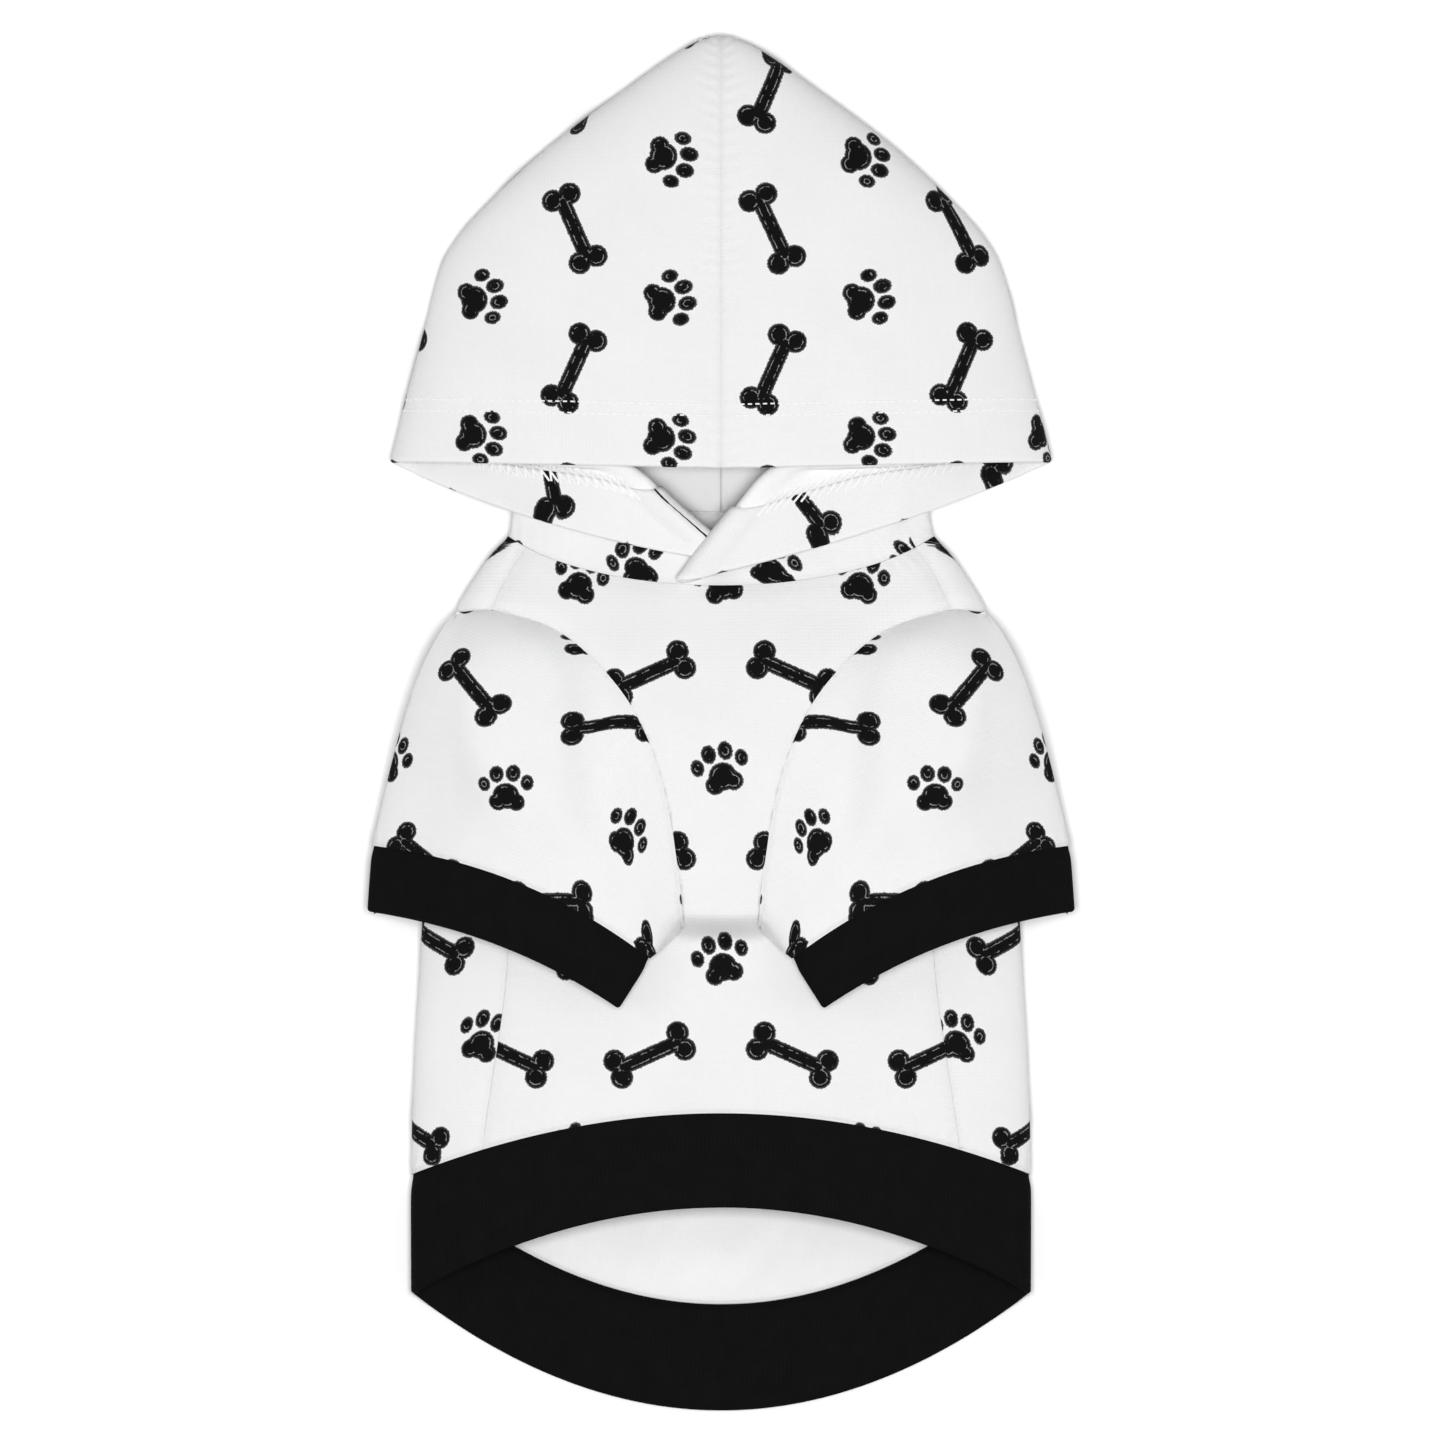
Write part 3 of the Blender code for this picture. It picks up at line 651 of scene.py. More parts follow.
def sew(name, points, uv, materials, turned=False, hole=None):
    """A piece of cloth from its points: a grid that takes them, a pattern map and a wall."""
    rows, columns = points.shape[0] - 1, points.shape[1] - 1
    bm = bmesh.new()
    bmesh.ops.create_grid(bm, x_segments=columns, y_segments=rows, size=0.5)
    flat = bm.loops.layers.uv.new("cloth")
    cells = {}
    for vert in bm.verts:
        cells[vert] = round((vert.co.y + 0.5) * rows), round((vert.co.x + 0.5) * columns)
    for face in bm.faces:
        for loop in face.loops:
            loop[flat].uv = uv[cells[loop.vert]]
    for vert, cell in cells.items():
        vert.co = points[cell]
    if hole is not None:
        cut = [face for face in bm.faces if all(hole[cells[vert]] for vert in face.verts)]
        bmesh.ops.delete(bm, geom=cut, context="FACES")
    bmesh.ops.remove_doubles(bm, verts=bm.verts, dist=WELD_DISTANCE)
    bmesh.ops.dissolve_degenerate(bm, edges=bm.edges, dist=WELD_DISTANCE / 4)
    if turned:
        bmesh.ops.reverse_faces(bm, faces=bm.faces)
    piece = object_from(bm, name, materials)
    thicken = piece.modifiers.new("wall", "SOLIDIFY")
    thicken.thickness = WALL
    thicken.offset = -1
    thicken.material_offset = 1
    thicken.material_offset_rim = 1
    return piece


def stack(a, b):
    return np.stack([a, b], axis=2)


def girth_map(points, middle, heights):
    """Pattern map: length round the cloth from a middle column, and given heights."""
    across = run(points, 1)
    return stack(across - across[:, middle:middle + 1], heights)


print("grid tools ready")

# %% [markdown]
# ## The print
# The white knit is printed in black. This one has generic dog bones and paw prints, scattered on a
# diamond layout. Each motif is a few circles and a bar, and their distances are worked out in the
# material, so the print stays sharp from near and needs no picture.

# %% Node helpers
INK_COLOUR = (0.003, 0.003, 0.0032, 1)
INK_EDGE_COLOUR = (0.06, 0.06, 0.064, 1)
INK_EDGE_STOP = 0.72
INK_FADE = (-0.00085, 0.00025)
FUZZ = {"scale": 1400, "width": 0.0009}
SCRIBBLE = {"inset": 0.0016, "fade": 0.80, "scale": 260, "breaks": (0.47, 0.52), "line": (0.00012, 0.00030)}
KNIT_COLOUR = (0.81, 0.81, 0.815, 1)
# The inside's white, painted lighter than the outside's KNIT_COLOUR as painted light for the shaded hollow in
# the hood.
NAP_COLOUR_PAINTED_LIGHTER = (0.86, 0.86, 0.863, 1)


def add_node(tree, kind, operation=None, inputs=(), **settings):
    node = tree.nodes.new(kind)
    if operation:
        node.operation = operation
    for name, value in settings.items():
        setattr(node, name, value)
    for slot, value in enumerate(inputs):
        if value is None:
            continue
        if isinstance(value, bpy.types.NodeSocket):
            tree.links.new(value, node.inputs[slot])
        else:
            node.inputs[slot].default_value = value
    return node


def number(tree, operation, *inputs):
    return add_node(tree, "ShaderNodeMath", operation, inputs).outputs[0]


def vector(tree, operation, *inputs):
    node = add_node(tree, "ShaderNodeVectorMath", operation, inputs)
    return node.outputs["Value" if operation in ("LENGTH", "DISTANCE") else "Vector"]


# %% Motifs
CELL = (0.114, 0.076, 1.0)
BONE_LENGTH = 0.0118
BONE_BAR = 0.0031
BONE_KNOB = {"at": (0.0138, 0.0036, 0), "radius": 0.0045}
PAW_PAD = table_of(
    "at radius",
    ((0.0, -0.0030, 0), 0.0056),
    ((0.0038, -0.0056, 0), 0.0038),
)
PAW_TOES = table_of(
    "at radius",
    ((0.0034, 0.0068, 0), 0.0029),
    ((0.0090, 0.0026, 0), 0.0026),
)
TOE_SQUASH = 0.78
MOTIFS = table_of(
    "kind at tilt",
    ("bone", (0.0285, 0.019), 0.42),
    ("bone", (0.0855, 0.019), -0.42),
    ("paw", (0.0, 0.057), 0.25),
    ("paw", (0.057, 0.057), -0.25),
)


def blob(tree, spot, shape, squash=1.0):
    """Distance from a circle, or from an upright oval where squash is under 1."""
    x, y, _ = shape["at"]
    scaled = vector(tree, "MULTIPLY", spot, (1, squash, 0))
    far = vector(tree, "DISTANCE", scaled, (x, y * squash, 0))
    return number(tree, "SUBTRACT", far, shape["radius"])


def lowest(tree, values):
    result = values[0]
    for value in values[1:]:
        result = number(tree, "MINIMUM", result, value)
    return result


def motif_distance(tree, spot, motif):
    """Distance from a motif that repeats in every cell; below 0 is inside its ink."""
    x, y = motif["at"]
    moved = vector(tree, "SUBTRACT", spot, (x - CELL[0] / 2, y - CELL[1] / 2, 0))
    wrapped = vector(tree, "WRAP", moved, CELL, (0, 0, 0))
    centred = vector(tree, "SUBTRACT", wrapped, (CELL[0] / 2, CELL[1] / 2, 0))
    turned = add_node(tree, "ShaderNodeVectorRotate", inputs=[centred], rotation_type="Z_AXIS")
    turned.inputs["Angle"].default_value = motif["tilt"]
    flat = vector(tree, "MULTIPLY", turned.outputs[0], (1, 1, 0))
    if motif["kind"] == "bone":
        folded = vector(tree, "ABSOLUTE", flat)
        past = vector(tree, "MAXIMUM", vector(tree, "SUBTRACT", folded, (BONE_LENGTH, 0, 0)), (0, 0, 0))
        bar = number(tree, "SUBTRACT", vector(tree, "LENGTH", past), BONE_BAR)
        return lowest(tree, [bar, blob(tree, folded, BONE_KNOB)])
    both = vector(tree, "MAXIMUM", flat, vector(tree, "MULTIPLY", flat, (-1, 1, 0)))
    pads = [blob(tree, both, shape) for shape in PAW_PAD]
    toes = [blob(tree, both, shape, TOE_SQUASH) for shape in PAW_TOES]
    return lowest(tree, pads + toes)


def soft_noise(tree, spot, scale, detail=2, dimensions="2D"):
    texture = add_node(tree, "ShaderNodeTexNoise", noise_dimensions=dimensions)
    tree.links.new(spot, texture.inputs["Vector"])
    texture.inputs["Scale"].default_value = scale
    texture.inputs["Detail"].default_value = detail
    return texture.outputs["Fac"]


def ramp(tree, value, ends, low, high):
    """The value's place between two ends, as a number from low to high."""
    return add_node(tree, "ShaderNodeMapRange", inputs=[value, *ends, low, high]).outputs[0]


def make_print_group():
    group = bpy.data.node_groups.new("bones_and_paws", "ShaderNodeTree")
    group.interface.new_socket("Spot", in_out="INPUT", socket_type="NodeSocketVector")
    group.interface.new_socket("Colour", in_out="OUTPUT", socket_type="NodeSocketColor")
    spot = group.nodes.new("NodeGroupInput").outputs[0]
    fuzz = number(group, "SUBTRACT", soft_noise(group, spot, FUZZ["scale"]), 0.5)
    rough = number(group, "MULTIPLY", fuzz, FUZZ["width"])
    distances = [motif_distance(group, spot, motif) for motif in MOTIFS]
    edge = number(group, "ADD", lowest(group, distances), rough)
    scribble = number(group, "ABSOLUTE", number(group, "ADD", edge, SCRIBBLE["inset"]))
    breaks = ramp(group, soft_noise(group, spot, SCRIBBLE["scale"]), SCRIBBLE["breaks"], 0.0, 1.0)
    line = number(group, "MULTIPLY", breaks, ramp(group, scribble, SCRIBBLE["line"], 1.0, 0.0))
    scratched = number(group, "MULTIPLY", line, SCRIBBLE["fade"])
    faded = number(group, "MAXIMUM", ramp(group, edge, INK_FADE, 0.0, 1.0), scratched)
    colours = group.nodes.new("ShaderNodeValToRGB")
    group.links.new(faded, colours.inputs["Fac"])
    stops = colours.color_ramp.elements
    stops[0].position, stops[0].color = 0.0, INK_COLOUR
    stops[1].position, stops[1].color = 1.0, KNIT_COLOUR
    stops.new(INK_EDGE_STOP).color = INK_EDGE_COLOUR
    out = group.nodes.new("NodeGroupOutput")
    group.links.new(colours.outputs["Color"], out.inputs[0])
    return group


print_group = make_print_group()
print("motif nodes:", len(print_group.nodes))

# %% [markdown]
# ## Finishes
# The outside is a smooth knit with fine upright wales, the inside is brushed to a soft nap, and
# the ribs are black with narrow raised columns. All three are dull, and light sinks a little way
# into the white ones. Bump depths are a fraction of a millimetre, as on real cloth.
# The inside's white is painted a little lighter than the outside's: painted light for the hood's shaded
# hollow.
# The rib's black is painted darker in the valleys between its columns: painted shade.

# %% Knit, nap and rib
LIGHT_DEPTH = 0.003
KNIT_PITCH = {"wale": 0.0011, "course": 0.0014, "bend": 1.5}
RIB_PITCH = {"rib": 0.0016, "bend": 0.4, "course": 0.0012, "course_bend": 1.0, "course_height": 0.25}
# Black of the rib from valley to ridge: the valleys are painted darker, as painted shade between the columns.
RIB_VALLEY_SHADE_TONE = (0.0042, 0.0052)


def cloth_shader(name, roughness, specular, subsurface=0.0):
    material, shader = new_material(name, roughness)
    tree = material.node_tree
    shader.inputs["Specular IOR Level"].default_value = specular
    shader.inputs["Subsurface Weight"].default_value = subsurface
    shader.inputs["Subsurface Radius"].default_value = (1, 1, 1)
    shader.inputs["Subsurface Scale"].default_value = LIGHT_DEPTH
    spot = add_node(tree, "ShaderNodeUVMap", uv_map="cloth").outputs[0]
    return material, tree, shader, spot


def noise_height(tree, spot, scale, stretch=(1, 1, 1), detail=3):
    return soft_noise(tree, vector(tree, "MULTIPLY", spot, stretch), scale, detail, "3D")


def waves(tree, spot, pitch, axis, bend=0.0):
    """Height of regular ridges, a pitch apart, from 0 to 1."""
    parts = add_node(tree, "ShaderNodeSeparateXYZ", inputs=[spot])
    turned = number(tree, "MULTIPLY", parts.outputs[axis], 2 * math.pi / pitch)
    if bend:
        wander = noise_height(tree, spot, 90, detail=1)
        turned = number(tree, "ADD", turned, number(tree, "MULTIPLY", wander, bend))
    return number(tree, "ADD", number(tree, "MULTIPLY", number(tree, "SINE", turned), 0.5), 0.5)


def add_bump(tree, shader, height, distance, strength=1.0):
    bump = add_node(tree, "ShaderNodeBump")
    bump.inputs["Strength"].default_value = strength
    bump.inputs["Distance"].default_value = distance
    tree.links.new(height, bump.inputs["Height"])
    tree.links.new(bump.outputs[0], shader.inputs["Normal"])


def shade_variation(tree, spot, colour, low, high, scale=35):
    """The colour, a little darker and lighter in soft patches."""
    patches = noise_height(tree, spot, scale, detail=2)
    return vector(tree, "SCALE", colour, None, None, ramp(tree, patches, (0.3, 0.7), low, high))


def make_printed_knit():
    material, tree, shader, spot = cloth_shader("printed_knit", 0.88, 0.12, subsurface=0.25)
    print_node = tree.nodes.new("ShaderNodeGroup")
    print_node.node_tree = print_group
    tree.links.new(spot, print_node.inputs[0])
    colour = shade_variation(tree, spot, print_node.outputs[0], 0.975, 1.0)
    tree.links.new(colour, shader.inputs["Base Color"])
    wales = waves(tree, spot, KNIT_PITCH["wale"], 0, KNIT_PITCH["bend"])
    courses = waves(tree, spot, KNIT_PITCH["course"], 1, KNIT_PITCH["bend"])
    stitches = number(tree, "MULTIPLY", wales, courses)
    height = number(tree, "ADD", stitches, noise_height(tree, spot, 900))
    add_bump(tree, shader, height, distance=0.00016, strength=0.55)
    return material


def make_brushed_inside():
    material, tree, shader, spot = cloth_shader("brushed_inside", 0.95, 0.1, subsurface=0.25)
    base = add_node(tree, "ShaderNodeRGB")
    # Painted light: this nap colour is lighter than the knit's, standing in for light in the hood's shaded
    # hollow.
    base.outputs[0].default_value = NAP_COLOUR_PAINTED_LIGHTER
    tree.links.new(shade_variation(tree, spot, base.outputs[0], 0.95, 1.0), shader.inputs["Base Color"])
    nap = number(tree, "ADD", noise_height(tree, spot, 420, (1, 0.35, 1)), noise_height(tree, spot, 1500))
    add_bump(tree, shader, nap, distance=0.00035, strength=0.6)
    return material


def make_black_rib():
    material, tree, shader, spot = cloth_shader("black_rib", 0.9, 0.05)
    ridge = waves(tree, spot, RIB_PITCH["rib"], 0, RIB_PITCH["bend"])
    # Painted shade: the rib's colour is darker in its valleys and lighter on its ridges.
    ridge_shade_tone = ramp(tree, ridge, (0.0, 1.0), *RIB_VALLEY_SHADE_TONE)
    colour = add_node(tree, "ShaderNodeCombineColor", inputs=[ridge_shade_tone, ridge_shade_tone, ridge_shade_tone]).outputs[0]
    tree.links.new(shade_variation(tree, spot, colour, 0.9, 1.1, 120), shader.inputs["Base Color"])
    courses = waves(tree, spot, RIB_PITCH["course"], 1, RIB_PITCH["course_bend"])
    stitches = number(tree, "ADD", ridge, number(tree, "MULTIPLY", courses, RIB_PITCH["course_height"]))
    height = number(tree, "ADD", stitches, noise_height(tree, spot, 1100))
    add_bump(tree, shader, height, distance=0.00022, strength=0.45)
    return material


printed_knit = make_printed_knit()
brushed_inside = make_brushed_inside()
black_rib = make_black_rib()
thread = flat_material("white_thread", (0.88, 0.88, 0.88, 1), 0.6)
KNIT = [printed_knit, brushed_inside]
RIB = [black_rib, black_rib]
print("finishes:", [m.name for m in (printed_knit, brushed_inside, black_rib, thread)])

# %% [markdown]
# ## Chest and back panels
# The body is two panels of printed knit. The chest panel covers the middle of the belly side, and
# the back panel wraps round the sides to meet it. Both are cut out for the sleeves. A boolean cut
# through a thin grid leaves ragged faces, so the grid's points inside the armhole are drawn out to
# its outline instead, and the faces between them are deleted.

# %% Armhole outline
ARMHOLE_POINTS = 400
TANGENT_STEP = 0.004


def armhole_spot(share):
    """Plan position round the armhole: 0 at the shoulder, 0.5 at the armpit, 1 at the shoulder."""
    table, at = (UPPER_STEPS, 2 * share) if share <= 0.5 else (LOWER_STEPS, 2 * share - 1)
    return trunk_place(read(table, "step", at, "across"), read(table, "step", at, "down"))


def armhole_inset(share, distance):
    """A spot round the armhole, moved into the hole by a distance."""
    before, after = armhole_spot((share - TANGENT_STEP) % 1), armhole_spot((share + TANGENT_STEP) % 1)
    return aside(*armhole_spot(share), before, after, distance)


armhole = np.array([armhole_spot(k / ARMHOLE_POINTS) for k in range(ARMHOLE_POINTS)])


def in_armhole(points):
    """Marks the points of the trunk's upper side whose plan position is in an armhole."""
    x, y = np.abs(points[..., 0]), points[..., 1]
    inside = np.zeros(x.shape, bool)
    for (x0, y0), (x1, y1) in zip(armhole, np.roll(armhole, -1, axis=0)):
        if y0 != y1:
            crossed = (y0 > y) != (y1 > y)
            inside ^= crossed & (x < x0 + (y - y0) / (y1 - y0) * (x1 - x0))
    return inside & (points[..., 2] > FOLD_HEIGHT)


def trim_armholes(points):
    """Draws the points in an armhole out to its seam line, and returns which ones they were."""
    hole = in_armhole(points)
    for j, i in np.argwhere(hole):
        x, y, z = points[j, i]
        sx, sy = armhole[np.argmin(np.hypot(armhole[:, 0] - abs(x), armhole[:, 1] - y))]
        points[j, i] = math.copysign(sx, x), sy, z + trunk_top(sx, sy) - trunk_top(x, y)
    return hole


def press_armholes(points):
    """Draws the trunk's upper side down along the armhole seams."""
    seam = armhole[::4]
    x, y = np.abs(points[..., 0]), points[..., 1]
    away = np.min([np.hypot(x - sx, y - sy) for sx, sy in seam], axis=0)
    near = np.exp(-(away / SEAM_REACH) ** 2) * (points[..., 2] > FOLD_HEIGHT)
    return points - UP * (SEAM_DIP * near)[..., None]


print("armhole width:", round(armhole_spot(0)[0] - armhole_spot(0.5)[0], 4), "m")

# %% Chest panel
CHEST_GRID = (110, 150)


def chest_place(u, v):
    start = seam_angle(v, -SEAM_GAP / 2)
    front = between(neck_front, band_front, v)
    return trunk_point(mix(start, math.pi - start, u), front, front)


def finish_panel(points, edges, turned=False, ring=False):
    """Presses a piece's seams, creases it and gives each sewn edge its allowance. The last row
    joins a rib or the hood, so its seam is pressed less and its allowance lies flat."""
    out = normals_of(points, turned, ring)
    points = press_seams(points, out, [edge for edge in edges if edge != "end"])
    points = crease(press_seams(points, out, ("end",), depth=RIB_SEAM_DIP))
    out = normals_of(points, turned, ring)
    for edge in edges:
        depth = FLAT_ALLOWANCE if edge == "end" else ALLOWANCE
        if edge in ("first", "last"):
            corner = len(TURN_STEPS)
            depth = np.full(len(points), ALLOWANCE)
            depth[:corner] = depth[-corner:] = FLAT_ALLOWANCE
        points, out = turn_in(points, out, edge, depth)
    return points


def make_body_panel(name, grid, place, print_shift):
    """A panel with all four edges sewn, cut out for the sleeves."""
    points = finish_panel(press_armholes(lay(*grid, place)), ("start", "end", "first", "last"))
    uv = girth_map(points, points.shape[1] // 2, points[..., 1] + print_shift)
    return sew(name, points, uv, KNIT, hole=trim_armholes(points))


chest = make_body_panel("chest_panel_cloth", CHEST_GRID, chest_place, print_shift=0.0)
print("chest faces:", len(chest.data.polygons))

# %% Back panel
BACK_GRID = (180, 150)
BACK_PRINT_SHIFT = 0.031


def back_place(u, v):
    start = seam_angle(v, SEAM_GAP / 2)
    front, back = between(neck_front, band_front, v), between(neck_back, band_back, v)
    return trunk_point(mix(math.pi - start, 2 * math.pi + start, u), front, back)


back = make_body_panel("back_panel_cloth", BACK_GRID, back_place, BACK_PRINT_SHIFT)
print("back faces:", len(back.data.polygons))

# %% [markdown]
# ## Ribbed hem band
# The hem is a wide tube of black rib, doubled over: the outer layer turns in at the free edge and
# runs back up inside. The back half is longer, so its inner side shows below the front edge.

# %% Hem band
BAND_COLUMNS = 300
BAND_ROWS = 26
INNER_ROWS = 14


def ring_angle(u, along):
    start = seam_angle(along, 0)
    return mix(start, 2 * math.pi + start, u)


def hem_place(u, v):
    front = between(shifted(band_front, -SEAM_GAP), hem_front, v)
    back = between(shifted(band_back, -SEAM_GAP), hem_back, v)
    return trunk_point(ring_angle(u, 1), front, back)


def doubled_ring(points, turned):
    """A rib tube: pressed at its seam, turned in at its free edge, with an inner layer."""
    out = normals_of(points, turned, True)
    points = crease(press_seams(points, out, ("start",), pucker=PUCKER / 2))
    out = normals_of(points, turned, True)
    away = from_edges(points, ["end"])[0][0]
    reach = reach_of(away, away[0] - TURN_RADIUS)
    points = fold_under(points, out, rows_back(points, out, reach, INNER_ROWS))
    points, _ = turn_in(points, normals_of(points, turned, True), "start", FLAT_ALLOWANCE)
    points[:, -1] = points[:, 0]
    return points


def row_heights(points, column):
    """The run down one column, given to every column, so ribs and rows stay straight."""
    return np.repeat(run(points, 0)[:, column:column + 1], points.shape[1], axis=1)


def make_hem_band():
    points = doubled_ring(lay(BAND_COLUMNS, BAND_ROWS, hem_place), False)
    uv = girth_map(points, BAND_COLUMNS // 2, row_heights(points, 0))
    return sew("hem_band_rib", points, uv, RIB)


hem_band = make_hem_band()
print("hem band faces:", len(hem_band.data.polygons))

# %% [markdown]
# ## Neck band
# A short tube of the printed knit joins the body to the hood. The hood's front edges lie over most
# of it.

# %% Neck band
NECK_GRID = (260, 30)
NECK_PRINT_SHIFT = -0.006


def neck_place(u, v):
    front = between(shifted(neck_front, SEAM_GAP), neck_top_front, v)
    back = between(shifted(neck_back, SEAM_GAP), neck_top_back, v)
    return trunk_point(ring_angle(u, 0), front, back)


def make_neck_band():
    points = finish_panel(lay(*NECK_GRID, neck_place), ("start", "end"), turned=True, ring=True)
    points[:, -1] = points[:, 0]
    uv = girth_map(points, 0, points[..., 1] + NECK_PRINT_SHIFT)
    return sew("neck_band_cloth", points, uv, KNIT, turned=True)


neck_band = make_neck_band()
print("neck band faces:", len(neck_band.data.polygons))

# %% [markdown]
# ## Sleeves and cuffs
# Each sleeve is a short tube from the armhole to a black ribbed cuff. It lies over the chest and
# belly and hangs a little past the side. Its pattern follows the slant of the cuff.

# %% Cuff lines


def cuff_line(ends, bow, across):
    """Plan position along a cuff edge: 0 at its inner end, 1 at its outer end."""
    inner, outer = trunk_place(**ends["inner"]), trunk_place(**ends["outer"])
    x, y = (mix(a, b, across) for a, b in zip(inner, outer))
    return aside(x, y, inner, outer, bow * 4 * across * (1 - across))


def sleeve_rest(x, y):
    """Height that the sleeve's underside lies at: on the belly, then hanging past the side."""
    support = SLEEVE_SUPPORT_SHARE * trunk_half_width(y)
    if abs(x) <= support:
        return trunk_top(x, y) + SLEEVE_LIFT
    outer = BODY_WIDTH / 2 * CUFF_SEAM_ENDS["outer"]["across"]
    hang = clamp((abs(x) - support) / (outer - support))
    return mix(trunk_top(support, y) + SLEEVE_LIFT, SLEEVE_HANG_HEIGHT, hang)


def power_wave(wave, power):
    return math.copysign(abs(wave) ** (2 / power), wave)


def cuff_point(share, ends, bow):
    """A point round the flattened cuff: 0 at the outer end, 0.25 on top, 0.5 at the inner end."""
    angle = 2 * math.pi * share
    x, y = cuff_line(ends, bow, 0.5 + 0.5 * power_wave(math.cos(angle), CUFF_END_POWER))
    lift = power_wave(math.sin(angle), CUFF_END_POWER)
    return x, y, sleeve_rest(x, y) + CUFF_LOFT / 2 * (1 + lift)


# %% Cuffs
SLEEVE_COLUMNS = 180
CUFF_ROWS = 18


def from_armpit(u):
    """Round a sleeve from its underarm seam, so the seam is where the grid closes."""
    return (u + 0.5) % 1.0


def make_cuff(side, name):
    def place(u, v):
        share = from_armpit(u)
        start = cuff_point(share, CUFF_SEAM_ENDS, CUFF_SEAM_BOW)
        end = cuff_point(share, CUFF_EDGE_ENDS, CUFF_EDGE_BOW)
        gap = SEAM_GAP / CUFF_DEPTH
        x, y, z = (mix(a, b, mix(gap, 1, v)) for a, b in zip(start, end))
        return side * x, y, z

    turned = side < 0
    points = doubled_ring(lay(SLEEVE_COLUMNS, CUFF_ROWS, place), turned)
    uv = girth_map(points, SLEEVE_COLUMNS // 2, row_heights(points, SLEEVE_COLUMNS // 2))
    return sew(name, points, uv, RIB, turned=turned)


cuffs = {"right": make_cuff(1, "cuff_right_rib"), "left": make_cuff(-1, "cuff_left_rib")}
print("cuff faces:", len(cuffs["right"].data.polygons))

# %% Sleeves
SLEEVE_ROWS = 60
SLEEVE_PRINT_SHIFT = 0.02
SLEEVE_SWELL_POWER = 0.6
SLEEVE_OPENING_POWER = 8
OUTER_PART = {"from": 0.4, "blend": 0.3}


def sleeve_point(share, along):
    x0, y0 = armhole_inset(share, SEAM_GAP)
    x1, y1, z1 = cuff_point(share, CUFF_SEAM_ENDS, CUFF_SEAM_BOW)
    swell = math.sin(math.pi * along ** SLEEVE_SWELL_POWER)
    outward = max(math.cos(2 * math.pi * share), 0.0) ** 2
    x = mix(x0, x1, along) + SLEEVE_OUTER_BULGE * swell * outward
    y = mix(y0, y1, along)
    turn = math.sin(2 * math.pi * share)
    lift = 0.5 + 0.5 * power_wave(turn, CUFF_END_POWER)
    opened = 1 - (1 - along) ** SLEEVE_OPENING_POWER
    attached = SLEEVE_LIFT * (1 - opened) * ease(4 * turn)
    under = sleeve_rest(x, y)
    level = mix(trunk_top(x0, y0), sleeve_rest(x1, y1) + CUFF_LOFT, along)
    puffed = under - attached + CUFF_LOFT * opened
    outer_share = ease((x / trunk_half_width(y) - OUTER_PART["from"]) / OUTER_PART["blend"])
    crown = chest_crown(y) + SLEEVE_CROWN_RISE
    over = lower_of(mix(level, puffed, outer_share), crown, SLEEVE_CROWN_BLEND)
    spanned = mix(trunk_top(x0, y0) + SLEEVE_LIFT, sleeve_rest(x1, y1), along)
    under = mix(under, spanned, ease(2 * turn) * (1 - outer_share))
    return x, y, mix(mix(under, over, lift), z1, ease(2 * along - 1))


def make_sleeve(side, name):
    def place(u, v):
        x, y, z = sleeve_point(from_armpit(u), v)
        return side * x, y, z

    turned = side < 0
    points = press_seams(lay(SLEEVE_COLUMNS, SLEEVE_ROWS, place), UP, ("start",))
    points = press_seams(points, normals_of(points, turned, True), ("end",), depth=RIB_SEAM_DIP)
    points = crease(points)
    out = normals_of(points, turned, True)
    around = np.arange(SLEEVE_COLUMNS + 1) / SLEEVE_COLUMNS
    allowance = FLAT_ALLOWANCE + ALLOWANCE * np.sin(2 * math.pi * around) ** 2
    points, out = turn_in(points, out, "start", allowance)
    points, _ = turn_in(points, out, "end", FLAT_ALLOWANCE)
    points[:, -1] = points[:, 0]
    above_cuff = from_edges(points, ["end"])[0][0]
    uv = girth_map(points, SLEEVE_COLUMNS // 2, above_cuff + SLEEVE_PRINT_SHIFT)
    return sew(name, points, uv, KNIT, turned=turned)


sleeves = {"right": make_sleeve(1, "sleeve_right_cloth"), "left": make_sleeve(-1, "sleeve_left_cloth")}
print("sleeve faces:", len(sleeves["right"].data.polygons))

# %% [markdown]
# ## Hood
# The hood is two mirrored halves with a seam from the nape over the tip to the forehead. It lies
# back, flattened, in two layers. Its face edge has a deep turned hem, and in front that edge rolls
# outwards into two flaps that cross at the throat, the right one over the left.

# %% Hood form
FLAP_CROSSING = {"from": 0.7, "blend": 0.4}
FLAP_SIDE = {"from": 0.4, "blend": 0.4}
ROLL_START_BLEND = 0.25
ROLL_END = {"at": 0.97, "blend": 0.2}
LAID_RATE = 1.5
FLAP_BLEND = 0.14


def hood_half_width(y):
    drop = clamp((TIP_Y - y) / FACE_CORNER_DROP)
    return HOOD_WIDTH / 2 * read(HOOD_OUTLINE, "down", drop, "across")


def hood_top(x, y):
    """Height of the hood's upper layer, closing towards the tip."""
    drop = (TIP_Y - y) / FACE_CORNER_DROP
    half = max(hood_half_width(y), HOOD_TURN_WIDTH / 2)
    closing = round_over(1 - clamp((TIP_Y - y) / HOOD_CLOSING_LENGTH), HOOD_CROWN_POWER)
    crown = HOOD_LOFT * read(HOOD_CROWN, "down", drop, "loft")
    bulge = round_over(abs(x) / half, HOOD_CROWN_POWER)
    return HOOD_FOLD_HEIGHT + (crown - HOOD_FOLD_HEIGHT) * bulge * closing


def hood_outline(along):
    across = read(HOOD_OUTLINE, "along", along, "across")
    down = read(HOOD_OUTLINE, "along", along, "down")
    return HOOD_WIDTH / 2 * across, TIP_Y - FACE_CORNER_DROP * down, down


